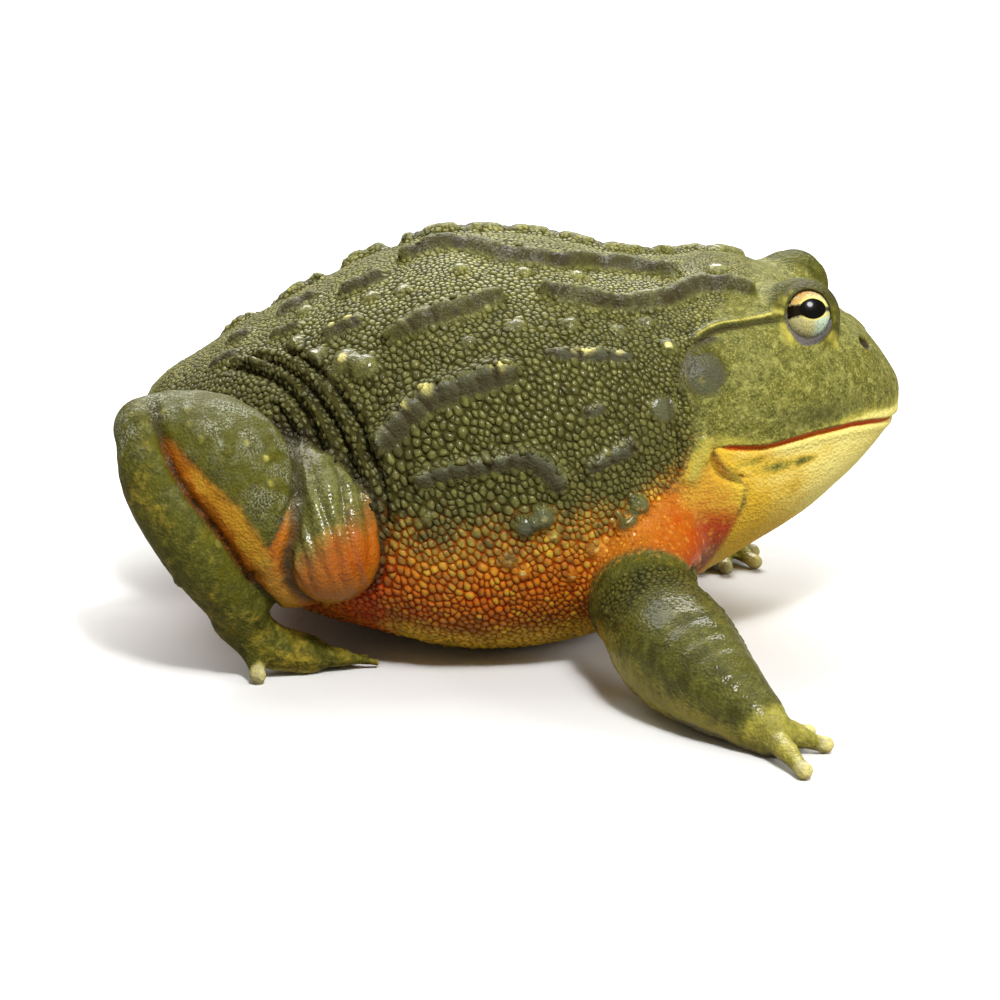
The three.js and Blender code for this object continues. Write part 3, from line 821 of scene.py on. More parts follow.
# The jaw and throat are yellow, and cream towards the chin.
wash(warm=throat, yellow=throat)
mark["red"] *= 1 - throat
wash(cream=throat * ramp(30, 70, x + (z - 46) * 0.5) * 0.9)
# Olive stains under the mouth: x and height, half the length and height, and how strong.
STAINS = (
    (52, 44.2, 4.5, 1.3, 0.75), (58.5, 42.6, 5.5, 1.5, 0.85), (65.5, 43.4, 2.8, 1.0, 0.8),
    (70.5, 45.5, 1.6, 1.2, 0.4), (62, 38, 6, 2.5, 0.3),
)
for stain_x, stain_z, long, tall, strength in STAINS:
    stain = hill(x - stain_x, long) * hill(z - stain_z - 0.12 * (x - stain_x), tall)
    for name, share in (("cream", 1), ("yellow", 0.7), ("warm", 1)):
        mark[name] *= 1 - share * strength * throat * stain
# The upper lip has a yellow band that pales to cream in front.
above_mouth = z - mouth_height(x)
lip = on_body * ramp(42.5, 46, x) * ramp(-0.2, 0.3, above_mouth)
band = np.interp(x, (44, 50, 60, 72, 80, 88), (3.2, 2.2, 0.8, 1.5, 3.0, 4.4))
wash(
    yellow=lip * ramp(1.9, 0.1, above_mouth / band) * 0.3,
    lemon=lip * ramp(2.3, 0.1, above_mouth / band) * 0.85,
)
# The cheek is paler under the eye and browner over the lip.
wash(
    lemon=on_body * hill(x - 62, 6) * hill(z - 59, 4.5) * 0.4,
    umber=on_body * hill(x - 68, 8) * hill(z - 53.5, 2.6),
    cream=lip * ramp(1.2, 0.5, above_mouth / band) * ramp(66, 82, x) * 0.75,
)
# The mouth is a cleft, red inside, and the lower jaw is set back under the lip.
cleft = on_body * ramp(MOUTH_CORNER - 2.5, MOUTH_CORNER + 1, x) * hill(above_mouth + 0.1, 0.55)
relief -= 0.65 * cleft
lip_width = np.interp(x, (44, 50, 62, 88), (0.65, 0.85, 1.0, 0.7))
in_lip = on_body * ramp(MOUTH_CORNER - 1, MOUTH_CORNER + 3, x) * hill(above_mouth - 0.1, lip_width)
in_lip *= np.interp(x, (46, 58, 80, 88), (0.95, 1, 1, 0.8))
wash(warm=in_lip, red=0.82 * in_lip)
for name in ("yellow", "lemon", "cream"):
    mark[name] *= 1 - ramp(0.3, 0.7, in_lip)
# The cleft's deepest line is painted a little darker as shade.
wash(
    dark=ramp(0.9, 1.0, cleft) * 0.2,
    smooth=on_body * ramp(41, 44, x) * ramp(3.5, 1, np.abs(above_mouth)),
)
under_lip = on_body * ramp(MOUTH_CORNER - 1, MOUTH_CORNER + 12, x) * ramp(0.2, -0.6, above_mouth)
relief -= under_lip * ramp(-14, -2, above_mouth) * np.interp(x, (60, 84), (1.0, 0.3))
relief += on_body * ramp(MOUTH_CORNER, 55, x) * hill(above_mouth - 1.2, 1.0) * 0.35
relief += on_body * ramp(MOUTH_CORNER, 55, x) * hill(above_mouth + 1.6, 1.1) * 0.4

# The back sinks a little between the long ridges, which stand on it.
relief -= 1.7 * on_body * ramp(35, 70, angle) * ramp(-78, -50, x) * ramp(52, 36, x)
# The flank's granules stand in slanting rows between deeper creases, painted dark as shade.
downward = 0.5 * x - 0.87 * z
row = 0.87 * x + 0.5 * z + 1.3 * np.sin(0.21 * downward) + 0.8 * np.sin(0.53 * downward + 1)
between = hill(np.sin(math.pi * row / 5.3), 0.26)
between *= on_body * ramp(0, 10, angle) * ramp(62, 48, angle) * ramp(42, 34, x) * ramp(-60, -45, x)
between *= ramp(-0.9, 0.3, np.sin(0.37 * row + 0.29 * downward))
relief -= 0.45 * between
wash(dark=0.42 * between)
for side in SIDES:
    for number, (path, height, dark, block, creams) in enumerate(RIDGES):
        line = marked_line(path, side, number)
        near, across, at, length = across_line(points, line, 6)
        lift = height * (0.68 if side > 0 and number < 2 else 1)  # the left long ridges are flatter
        ends = fading(at, length, 2.5, 2.5)
        profile = np.where(across > 0, ramp(0.9, 0.0, across), ramp(1.45, 0.2, -across))
        waver = at + 0.35 * np.sin(at * 1.7 + number) * block * 0.3
        pad = np.abs(np.cos(math.pi * waver / block)) ** 0.5
        swell = 0.5 + 0.5 * pad
        notch = ramp(0.6, 0.34, pad)
        there = on_body[near] * ends
        streak = 0.5 + 0.5 * np.sin(at * 5.3 + 1.7 * np.sin(at * 1.9 + number))
        face = ramp(1.5, 0.9, -across) * ramp(0.1, -0.25, across)
        crest = ramp(-0.3, -0.05, across) * ramp(0.5, 0.15, across)
        relief[near] += lift * profile * swell * there + 0.14 * streak * face * there
        wash(near, smooth=ramp(1.5, 1.1, -across) * ramp(0.4, 0.15, across) * there)
        # The face under the crest is painted dark, partly its own brown and partly painted shade,
        # and the notches between the blocks are painted shade.
        shaded = ramp(1.5, 0.9, -across) * ramp(-0.1, 0.55, -across) * (0.75 + 0.25 * streak)
        wash(
            near,
            dark=((0.42 + 0.42 * dark) * shaded + 0.75 * notch * profile).clip(0, 1) * there,
            umber=face * there,
        )
        pale_part = np.maximum(0.8 * crest, 0.72 * face * ramp(1.25, 0.0, -across))
        for share, spread in creams:
            patch = hill((at / length - share) * length, spread)
            wash(near, cream=patch * pale_part * there * (1 - 0.8 * notch))
        # A pale painted sheen, with some dried skin, lies along the crest.
        wash(
            near,
            grey=(0.15 * crest + (1.25 * face + 0.4 * profile) * (1 - dark)).clip(0, 0.9) * there,
            dry=0.9 * crest * there,
        )
    for number, centre, radius in wart_places(side):
        height, cream, grey = WARTS[number][3:]
        near, gap = around(centre, radius * 1.6)
        dome = np.sqrt(np.clip(1 - (gap / (1.1 * radius)) ** 2, 0, 1))
        relief[near] += 1.1 * height * dome * on_body[near]
        gap = gap / radius
        wash(near, bare=ramp(1.2, 1.0, gap), smooth=ramp(1.2, 0.9, gap))
        inside = ramp(1.15, 0.7, gap)
        for name in ("warm", "yellow", "red"):
            mark[name][near] *= 1 - min(1, 1.3 * grey) * inside
        wash(
            near,
            cream=cream * ramp(0.75, 0.2, gap),
            grey=grey * inside,
            wet=ramp(1.1, 0.6, gap),
        )
    for number, (path, depth) in enumerate(FOLDS):
        line = marked_line(path, side, number)
        near, across, at, length = across_line(points, line, 6)
        ends = fading(at, length, 3, 3)
        there = ends * ramp(2.5, 0.5, trunk_gap[near])
        relief[near] += depth * there * (0.5 * hill(across - 1.7, 0.9) - hill(across))
        if number < 4:  # the groin's folds are smooth wet ropes
            rope = ramp(3.4, 2.2, np.abs(across)) * there
            # The ropes carry a pale painted sheen.
            wash(near, smooth=0.42 * rope, wet=0.5 * rope, dry=0.3 * rope)
        # The groove of each fold is painted dark as shade.
        wash(near, dark=0.55 * np.exp(-(across**2) * 1.2) * there)

LIP_FOLD = ((43.4, 6.5, 1.2), (42.0, 2.0, 1.9), (40.4, -2.5, 1.8), (38.6, -7.5, 1.1))
# Yellow rays under the eye: the turn in degrees from straight forward, half the spread, and how
# far it reaches from the rim.
EYE_RAYS = (
    (-42, 15, 5.6), (-62, 10, 2.6), (-128, 22, 3.6), (-150, 18, 3.0), (176, 12, 4.2),
    (150, 16, 3.2), (-12, 16, 1.9), (12, 12, 1.3), (128, 12, 2.0), (-95, 20, 2.3),
)


def turn_from(centre, turned):
    """The angle from centre to turned in degrees, between -180 and 180."""
    return (turned - centre + 180) % 360 - 180


for side in SIDES:
    # The pale line behind the eye, with painted shadow under its fold.
    near, across, at, length = across_line(points, marked_line(PALE_LINE, side, 0), 5)
    ends = ramp(-1, 1, at) * ramp(0, 4, length - at)
    wash(
        near,
        cream=0.7 * ramp(1.1, 0.1, np.abs(across)) * ends,
        lemon=0.8 * ramp(1.6, 0.3, np.abs(across)) * ends,
    )
    relief[near] += 0.25 * hill(across, 1.8) * ends
    wash(
        near,
        bare=ramp(5, 3, np.abs(across)) * ends,
        umber=ramp(0, -1.5, across) * ramp(-8, -5, across) * ends,
        dark=0.75 * hill(across + 3.4, 2.0) * ends * ramp(1, 6, at),
    )
    # A short fold hangs from the corner of the mouth.
    near, across, at, length = across_line(points, marked_line(LIP_FOLD, side, 0), 6)
    ends = fading(at, length, 2, 3)
    relief[near] += hill(across) * ends * on_body[near]
    wash(
        near,
        lemon=0.85 * ramp(2.0, 0.2, np.abs(across)) * ends,
        bare=ramp(2.0, 1.2, np.abs(across)) * ends,
    )
    # The ear drum: a thin round grey plate in a shallow ring.
    q = points - EAR[side]
    gap = np.hypot(q[:, 0], np.hypot(q[:, 1] * 0.35, q[:, 2] * 0.95))
    near = np.flatnonzero((np.linalg.norm(q, axis=1) < EAR_RADIUS * 1.8) & (y * side > 0))
    ring = gap[near] / EAR_RADIUS
    drum = 0.3 * hill(ring - 1.14, 0.14) - 0.35 * ramp(1.05, 0.85, ring)
    relief[near] += drum + 0.15 * ramp(0.8, 0.2, ring)
    wash(
        near,
        grey=0.7 * ramp(1.08, 0.75, ring),
        dark=(0.3 + 0.14 * ramp(0.5, 0.9, ring)) * ramp(1.08, 0.9, ring),
        mottle=0.8 * ramp(1.06, 0.8, ring),
        bare=ramp(1.45, 1.2, ring),
    )
    wash(
        near,
        dark=(0.3 + 0.4 * ramp(0, -3, q[near, 0])) * hill(ring - 1.03, 0.1),
        smooth=ramp(1.4, 1.2, ring),
    )
    above_ear = hill(q[near, 0] - 0.4, 3.8) * hill(q[near, 2] - 6.6 - 0.25 * q[near, 0], 1.7)
    wash(near, dark=0.8 * above_ear, umber=above_ear)
    relief[near] += 0.7 * above_ear
    # A pale star with five short points lies on the drum.
    star = q[near] - (-1.2, 0, -1.4)
    star_edge = 0.7 + 1.2 * np.cos(2.5 * np.arctan2(star[:, 2], star[:, 0])) ** 4
    wash(near, lemon=0.62 * ramp(1.4, 0.1, np.hypot(star[:, 0], star[:, 2]) / star_edge))
    # The nostril: a small pit painted dark as shade, with a raised rim, on a low mound.
    nostril = NOSTRIL * (1, side, 1)
    gap = np.linalg.norm((points - nostril) * (0.72, 0.72, 1), axis=1)
    relief += 0.3 * ramp(6.5, 1.5, gap)
    near = np.flatnonzero(gap < 4)
    relief[near] += 0.35 * hill(gap[near] - 2.1, 0.6) - 1.7 * ramp(1.8, 0.6, gap[near])
    wash(
        near,
        dark=ramp(1.8, 1.4, gap[near]),
        yellow=0.5 * hill(gap[near] - 2.4, 0.7) * ramp(0, -1, (points[near] - nostril)[:, 2]),
    )
    # Round the eye: painted shade where the lids meet the ball, a grey-violet inner lid below and
    # behind, and yellow beyond it.
    forward, up, out = eye_frame(side)
    q = points - EYE_CENTRE[side]
    near = np.flatnonzero((np.linalg.norm(q, axis=1) < 13) & (q @ out > 0))
    fx, fz = q[near] @ forward, q[near] @ up
    rim = (np.hypot(fx / OPENING[0], fz / OPENING[1]) - 1) * min(OPENING)
    wash(near, dark=0.9 * ramp(0.25, -0.15, rim))
    turned = np.degrees(np.arctan2(fz, fx))
    below_eye = np.exp(-((turn_from(-68, turned) / 52) ** 4))
    beside_eye = np.exp(-((turn_from(-95, turned) / 92) ** 6))
    thick = 0.55 + 0.9 * below_eye
    wash(
        near,
        violet=beside_eye * ramp(thick + 0.35, thick - 0.1, rim),
        dark=0.6 * ramp(0.7, 0.2, rim),
        smooth=ramp(3.2, 2.4, rim),
        umber=ramp(4.5, 3.0, rim) * ramp(0.5, 2.5, fz),
    )
    wash(near, dark=0.32 * ramp(4.0, 2.0, rim) * ramp(1.0, 3.0, fz))
    beyond_lid = ramp(thick, thick + 0.5, rim)
    for centre, spread, reach in EYE_RAYS:
        ray = 0.75 * hill(turn_from(centre, turned), spread) * ramp(reach + 1.8, reach - 2.2, rim)
        wash(near, lemon=ray * beyond_lid)
    relief[near] -= 0.4 * hill(rim - 2.4, 0.5) * ramp(-0.3, 0.4, fz / 5)
    relief[near] -= 0.35 * hill(rim - thick, 0.3) * below_eye

# The knee's loose skin hangs in wet upright folds before the shank, with painted shade between
# them, and grows orange.
before_shank = limb * ramp(0.4, 1.6, limb_gap["shank"]) * ramp(3.5, 1.5, limb_gap["thigh"])
fan = (x + 33 + (z - 20) * 0.30) / (1 + 0.02 * np.clip(z - 20, 0, 40))
wave = np.abs(np.sin(1.05 * fan + 0.5 * np.sin(z * 0.13) + 0.35 * np.sin(z * 0.31 + fan)))
hang = before_shank * ramp(15, 26, z) * ramp(66, 54, z)
relief += 1.3 * hang * (wave**0.7 - 0.6) * ramp(16, 34, z + 4 * np.sin(fan * 0.7))
mark["mottle"] *= 1 - before_shank
# The upper folds are greyer, with a pale painted sheen.
wash(
    wet=before_shank,
    grey=0.25 * hang * ramp(28, 40, z),
    dry=0.25 * hang * ramp(34, 46, z),
    smooth=before_shank,
)
leg_z = np.where(y > 0, 20 + (z - 20) * 1.7, z)  # the left leg is folded lower
above_knee = leg_z - 30 - 0.7 * (x + 43) - 0.7 * np.sin(2 * fan)
knee = thigh * ramp(14, -9, above_knee)
wash(
    dark=0.6 * hang * ramp(0.5, 0.1, wave) * ramp(20, 34, z) * (1 - knee),
    warm=knee,
    yellow=thigh * hill(above_knee - 1, 7) * 0.36,
    red=knee * 0.55 * ramp(18, 30, leg_z) * ramp(-46, -36, x),
)
wash(yellow=knee * ramp(25, 15, leg_z) * 0.75)
strip_width = np.interp(leg_z, (30, 44, 57), (7.5, 6.5, 1.6))
strip = shank * ramp(4.2, -2.6, limb_gap["tarsus"] - strip_width) * ramp(60, 52, leg_z)
strip *= ramp(-78.5, -75.5, x)
wash(
    warm=0.95 * strip,
    yellow=0.62 * strip * ramp(0.8, 3, limb_gap["tarsus"]) * ramp(54, 46, leg_z),
    red=0.5 * strip * ramp(2.4, 0.4, limb_gap["tarsus"]),
)
wash(warm=shank * ramp(24, 14, leg_z) * 0.8, dark=0.32 * np.maximum(knee, strip))
# The shank's lower corner is loose skin too: it spreads like a fan from a crease.
past_crease = (x + 44.5) * 0.889 - (leg_z - 42.4) * 0.458
spread = shank * ramp(46, 41, leg_z)
fan_skin = spread * ramp(-0.5, 0.5, past_crease)
turn = np.arctan2(x + 43, 47 - leg_z)
rays = np.abs(np.sin(9 * turn))
relief += spread * (0.35 * rays * ramp(0, 1.5, past_crease) - 0.9 * hill(past_crease, 0.6))
# The crease and the hollows between the rays are painted dark as shade.
wash(dark=0.7 * spread * hill(past_crease, 0.5))
wash(
    dark=0.4 * fan_skin * ramp(0.35, 0.1, rays),
    warm=fan_skin,
    yellow=fan_skin * ramp(28, 38, leg_z) * 0.45,
)
mark["warm"] *= 1 - 0.5 * fan_skin * ramp(34, 44, leg_z)
wash(red=fan_skin * ramp(34, 24, leg_z) * 0.4, wet=fan_skin * 0.7)
mark["mottle"] *= 1 - fan_skin
# Grey skin on the shank's top, a pale speckle of dried skin and painted sheen on the shank, the
# tarsus and the back, and cream tubercles scattered on the shank and tarsus.
wash(grey=shank * ramp(40, 56, leg_z) * 0.35 * (1 - strip))
over_strip = np.maximum(ramp(48, 55, leg_z), 0.75 * ramp(-64, -52, x) * ramp(30, 44, leg_z))
wash(dry=shank * over_strip * (1 - strip))
wash(dry=tarsus * ramp(5, 1.5, limb_gap["shank"]) * ramp(36, 48, leg_z))
wash(dry=0.4 * on_body * ramp(20, 70, angle) * ramp(62, 46, x))
for place, radius, pale in tubercles:
    near, gap = around(place, radius * 1.6)
    gap = gap / radius
    relief[near] += 0.35 * radius * ramp(1.3, 0.2, gap)
    wash(
        near,
        cream=0.7 * pale * ramp(1.5, 0.1, gap),
        lemon=0.9 * pale * ramp(1.6, 0.4, gap),
    )
wash(yellow=foot * 0.38)
wash(yellow=tarsus * ramp(0.2, 0.9, -normals[:, 2]) * 0.55)
wash(yellow=tarsus * 0.3)


def crease_between(first, second, width=1.6, reach=2.6):
    """How near a place is to where two parts meet."""
    return hill(first - second, width) * ramp(reach, 0.4 * reach, np.maximum(first, second))


# Creases where the leg's parts meet are sunk and painted dark as shade.
CREASES = (("shank", "tarsus", 1.3, 0.8, 3.6), ("thigh", "shank", 1.2, 1.6, 2.6))
for first, second, depth, width, reach in CREASES:
    meeting = crease_between(limb_gap[first], limb_gap[second], width, reach) * limb
    meeting *= ramp(-78, -74, x)
    relief -= depth * meeting
    wash(dark=meeting * 0.8)
# Painted shade darkens the crease where the thigh and shank meet the trunk.
meeting = sum(crease_between(trunk_gap, limb_gap[name]) for name in ("thigh", "shank"))
meeting = np.minimum(meeting, 1)
relief -= 0.9 * meeting
wash(
    dark=0.75 * meeting,
    wet=np.maximum(arm * np.interp(np.abs(y), (60, 74), (0.3, 0.75)), hand * 0.5),
)
body_wet = on_body * np.interp(angle, (-30, 0, 30, 60, 80), (0.9, 0.85, 0.65, 0.5, 0.4))
wash(wet=body_wet * ramp(50, 38, x) * (1 - 0.8 * mark["smooth"]))
wash(wet=0.7 * trunk_side * chest)
# The arm is yellow below and behind, and the hand paler still, with a violet shade.
low_rear_arm = ramp(0.1, 0.75, -0.75 * normals[:, 2] - 0.55 * normals[:, 0])
wash(
    yellow=arm * low_rear_arm * np.interp(np.abs(y), (60, 76), (0.8, 0.35)),
    lemon=arm * low_rear_arm * np.interp(np.abs(y), (58, 72), (0.2, 0.75)),
    cream=arm * ramp(0.45, 0.9, -normals[:, 2]) * 0.5,
)
wash(
    cream=arm * ramp(0.84, 0.98, normals[:, 0]) * ramp(56, 62, np.abs(y)) * 0.7,
    yellow=hand * 0.35,
    lemon=hand * 0.62,
    violet=np.maximum(arm, hand) * ramp(78, 90, np.abs(y)) * ramp(0.2, 0.9, -normals[:, 2]) * 0.8,
)
wash(cream=np.maximum(hand, foot) * ramp(0.35, 0.9, -normals[:, 2]) * 0.5)
for side in SIDES:
    for name in ("toes", "fingers"):
        for tube in limbs[side][name]:
            tip = np.linalg.norm(points - tube[0][-1], axis=1)
            pale_tip = 0.95 if name == "fingers" or tube is limbs[side][name][-1] else 0.2
            wash(cream=0.72 * pale_tip * ramp(4.6, 1.6, tip), violet=pale_tip * ramp(3.4, 1.6, tip))

# Granules: how high they stand and how far apart they are. They fade out on the snout and limbs.
spacing = np.interp(
    angle, (-60, -25, -12, 0, 20, 40, 60, 78), (1.15, 1.12, 1.2, 1.28, 1.28, 1.12, 0.95, 0.85)
)
spacing *= np.interp(x, (-80, -45, 4, 18, 34, 46), (0.8, 1, 1, 0.88, 0.68, 0.55))
stature = np.interp(angle, (-40, 0, 45, 62, 75), (0.85, 1, 0.95, 0.62, 0.42))
stature *= np.interp(x, (-80, -60, 5, 22, 46), (0.7, 1, 1, 0.8, 0.7))
reach_of_grain = np.interp(angle, (20, 45, 70), (41, 46, 55))
grain = on_body * ramp(2, -6, x - reach_of_grain)
grain *= 1 - ramp(0.25, 0.7, mark["smooth"])
grain *= 1 - mark.pop("bare")
grain *= 1 - ramp(40, 44, x) * ramp(12, 0, above_mouth)
grain *= 1 - 0.85 * chest
upper_face = ramp(0.0, 0.5, normals[:, 2] + 0.3 * np.abs(normals[:, 1]))
grain = np.maximum(grain, 0.6 * (arm * ramp(84, 64, np.abs(y)) * upper_face))
spacing = np.where(limb > 0.5, 0.95, spacing)
stature = np.where(limb > 0.5, 0.75, stature)
grain[z < 1.0] *= 0.3
relief -= COAT_DEPTH * np.maximum(grain, 0.35)
points = points + normals * relief[:, None]
points[:, 2] = np.maximum(points[:, 2], FLOOR_GAP)

# Between the granules the skin shows the colours of their creases, partly their own hue and partly
# painted shade, and elsewhere of their tops.
crown = (1 - 0.95 * ramp(0.12, 0.6, grain)) * (1 - 0.3 * ramp(0.3, 0.9, mark["warm"]))


def store(mesh, name, values, kind="FLOAT", field="value"):
    """Keeps a value, or a vector, at each of a mesh's points."""
    attribute = mesh.attributes.new(name, kind, "POINT")
    attribute.data.foreach_set(field, values.astype(np.float32).ravel())


def put_in_scene(name, data):
    made = bpy.data.objects.new(name, data)
    bpy.context.scene.collection.objects.link(made)
    return made


skin_mesh = bpy.data.meshes.new("skin")
skin_mesh.from_pydata(points * MM, [], triangles.tolist())
skin_mesh.shade_smooth()
mark_values = {**mark, "grain": grain, "spacing": spacing, "stature": stature, "crown": crown}
for name, values in mark_values.items():
    store(skin_mesh, name, values)
skin = put_in_scene("skin", skin_mesh)
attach(skin, "root")
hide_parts(*(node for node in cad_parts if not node.startswith("eye_")))


# ---- The hide's colours ----
# Olive and brown above, orange and yellow below, cream on the ridges. The same colouring and the
# same fine grain are used on the bare skin and on the granules.
def paint(red, green, blue):
    """A colour of a paint chart, each part 0 to 255, as Blender takes it."""
    parts = (red / 255, green / 255, blue / 255)
    return (*(c / 12.92 if c <= 0.04045 else ((c + 0.055) / 1.055) ** 2.4 for c in parts), 1)


class Sheet:
    """A node tree to which nodes are added one call at a time."""

    def __init__(self, tree):
        self.tree = tree

    def add(self, kind, *inputs, out=0, **settings):
        """Adds a node. Each input is a value, another node's output, or None to leave it."""
        made = self.tree.nodes.new(kind)
        for key, value in settings.items():
            setattr(made, key, value)
        for socket, value in zip(made.inputs, inputs):
            self.feed(socket, value)
        return made.outputs[out]

    def feed(self, socket, value):
        if isinstance(value, bpy.types.NodeSocket):
            self.tree.links.new(value, socket)
        elif value is not None:
            socket.default_value = value

    def sum(self, operation, *inputs):
        return self.add("ShaderNodeMath", *inputs, operation=operation)

    def times(self, first, second):
        return self.sum("MULTIPLY", first, second)

    def plus(self, first, second):
        return self.sum("ADD", first, second)

    def size_of(self, value):
        return self.sum("ABSOLUTE", value)

    def step(self, low, high, value):
        """Rises smoothly from 0 to 1 as value goes from low to high."""
        return self.add(
            "ShaderNodeMapRange", value, low, high, 0.0, 1.0, interpolation_type="SMOOTHSTEP"
        )

    def blend(self, share, first, second, how="MIX"):
        made = self.tree.nodes.new("ShaderNodeMix")
        made.data_type = "RGBA"
        made.blend_type = how
        for number, value in ((0, share), (6, first), (7, second)):
            self.feed(made.inputs[number], value)
        return made.outputs[2]

    def noise(self, place, scale, detail=2.0, rough=0.5):
        return self.add("ShaderNodeTexNoise", place, None, scale, detail, rough)

    def give(self, node, **values):
        """Feeds a node's inputs by their names, with _ for each space."""
        for name, value in values.items():
            self.feed(node.inputs[name.replace("_", " ")], value)

    def use(self, sheet, **values):
        """Adds a group of nodes that is drawn on another sheet."""
        made = self.tree.nodes.new("ShaderNodeGroup")
        made.node_tree = sheet.tree
        self.give(made, **values)
        return made.outputs[0]

    def bump(self, height, strength, distance):
        made = self.tree.nodes.new("ShaderNodeBump")
        self.give(made, Strength=strength, Distance=distance, Height=height)
        return made.outputs[0]


def new_material(name):
    """A material, the sheet of its nodes, and the finish among them."""
    made = bpy.data.materials.new(name)
    made.use_nodes = True
    return made, Sheet(made.node_tree), made.node_tree.nodes["Principled BSDF"]


def new_group(name, inputs, outputs):
    """A group of nodes with named inputs and outputs, each given as (name, kind)."""
    group = bpy.data.node_groups.new(name, "ShaderNodeTree")
    for in_out, sockets in (("INPUT", inputs), ("OUTPUT", outputs)):
        for socket, kind in sockets:
            group.interface.new_socket(socket, in_out=in_out, socket_type=f"NodeSocket{kind}")
    sheet = Sheet(group)
    entry = group.nodes.new("NodeGroupInput")
    exit = group.nodes.new("NodeGroupOutput")
    return sheet, entry.outputs, exit.inputs


# Each mark's colour on the tops of the granules, and in the creases between them, which is partly
# the crease's own hue and partly painted shade.
MARKS = {
    "warm": (paint(202, 118, 8), paint(150, 62, 0)),
    "yellow": (paint(236, 200, 64), paint(176, 112, 10)),
    "red": (paint(184, 66, 2), paint(170, 46, 0)),
    "lemon": (paint(190, 180, 78), paint(152, 144, 54)),
    "cream": (paint(252, 240, 146), paint(196, 182, 108)),
    "grey": (paint(84, 86, 66), paint(56, 56, 42)),
    "violet": (paint(108, 102, 102), paint(80, 76, 78)),
    "dark": (paint(56, 48, 24), paint(30, 26, 14)),
}
TEXTURE_MARKS = ("umber", "mottle", "dry", "spotted")
mark_inputs = [(name.capitalize(), "Float") for name in (*MARKS, *TEXTURE_MARKS)]
colouring, given, gives = new_group(
    "hide colouring",
    [("Place", "Vector"), *mark_inputs, ("Crown", "Float"), ("Tone", "Float")],
    [("Color", "Color")],
)
s = colouring
cloud = s.noise(given["Place"], 130.0, 3.0)
patchy = s.noise(given["Place"], 620.0, 3.0, 0.6)
speckle = s.noise(given["Place"], 2100.0, 2.0, 0.6)
ragged = s.sum("MULTIPLY_ADD", s.plus(cloud, s.times(patchy, 0.6)), 1.7, -1.36)
olive = s.blend(s.step(0.35, 0.65, cloud), paint(106, 104, 40), paint(122, 121, 60))
olive = s.blend(s.step(0.5, 0.36, patchy), olive, paint(84, 86, 34))
olive = s.blend(s.step(0.54, 0.66, patchy), olive, paint(148, 146, 78))
olive = s.blend(s.times(s.step(0.42, 0.3, speckle), 0.7), olive, paint(74, 74, 32))
olive = s.blend(s.times(s.step(0.52, 0.68, speckle), 0.6), olive, paint(174, 170, 94))
blotch = s.noise(given["Place"], 210.0, 3.0, 0.55)
brown = s.blend(s.step(0.35, 0.65, patchy), paint(76, 76, 36), paint(98, 97, 51))
olive = s.blend(s.times(given["Umber"], 0.85), olive, brown)
for share, colour in (
    (s.times(s.step(0.5, 0.68, blotch), 0.7), paint(46, 48, 12)),
    (s.step(0.46, 0.3, blotch), paint(104, 100, 24)),
    (0.5, paint(58, 58, 12)),
):
    olive = s.blend(s.times(given["Mottle"], share), olive, colour)
olive = s.blend(given["Mottle"], olive, (1, 1, 0.65, 1), "MULTIPLY")
# The olive's crease colour is the olive darkened: painted shade between the granules.
top, ground = olive, s.blend(1.0, olive, (0.38, 0.34, 0.22, 1), "MULTIPLY")
# Each mark shows from the first strength on and is full at the second, and the creases change
# earlier than the tops by the third.
for name, low_edge, high_edge, early in (
    ("warm", 0.52, 1.1, 0.36), ("yellow", 0.3, 0.9, 0.0), ("red", 0.3, 0.9, 0.1),
    ("grey", 0.2, 0.9, 0.0), ("lemon", 0.2, 1.0, 0.0), ("violet", 0.4, 0.7, 0.0),
    ("cream", 0.25, 1.0, 0.0), ("dark", 0.1, 0.95, 0.0),
):
    strength = s.sum("MULTIPLY_ADD", ragged, 0.4, given[name.capitalize()])
    top_paint, ground_paint = MARKS[name]
    if name == "warm":  # some granules are greener than the rest
        top_paint = s.blend(s.step(0.55, 0.85, given["Tone"]), top_paint, paint(180, 146, 36))
    top = s.blend(s.step(low_edge, high_edge, strength), top, top_paint)
    ground = s.blend(s.step(low_edge - early, high_edge - early, strength), ground, ground_paint)
spots = s.add("ShaderNodeTexVoronoi", given["Place"], None, 480.0, out=0)
spots = s.times(s.step(0.44, 0.2, spots), s.step(0.38, 0.56, patchy))
top = s.blend(s.times(spots, given["Spotted"]), top, paint(212, 146, 48))
# A pale speckle on tops: partly dried skin, partly painted sheen and glints.
dust_and_sheen_speckle = s.times(
    s.step(0.42, 0.66, s.noise(given["Place"], 2300.0, 2.0, 0.6)),
    s.step(0.42, 0.62, s.noise(given["Place"], 210.0, 2.0)),
)
top = s.blend(s.times(dust_and_sheen_speckle, s.times(given["Dry"], 0.8)), top, paint(166, 168, 142))
mixed = s.blend(given["Crown"], ground, top)
shade = s.sum("MULTIPLY_ADD", given["Tone"], 0.7, 0.65)
shade = s.add("ShaderNodeCombineColor", shade, shade, shade)
s.feed(gives["Color"], s.blend(1.0, mixed, shade, "MULTIPLY"))

grain_relief, given, gives = new_group(
    "fine grain",
    [("Place", "Vector"), ("Wrinkle", "Float"), ("Pores", "Float")],
    [("Height", "Float")],
)
s = grain_relief
pores = s.add("ShaderNodeTexVoronoi", given["Place"], None, 1500.0, out=0)
drawn = s.add("ShaderNodeVectorMath", given["Place"], (0.4, 1.0, 1.0), operation="MULTIPLY")
lines = s.noise(drawn, 460.0, 4.0, 0.6)
s.feed(gives["Height"], s.plus(s.times(pores, given["Pores"]), s.times(lines, given["Wrinkle"])))


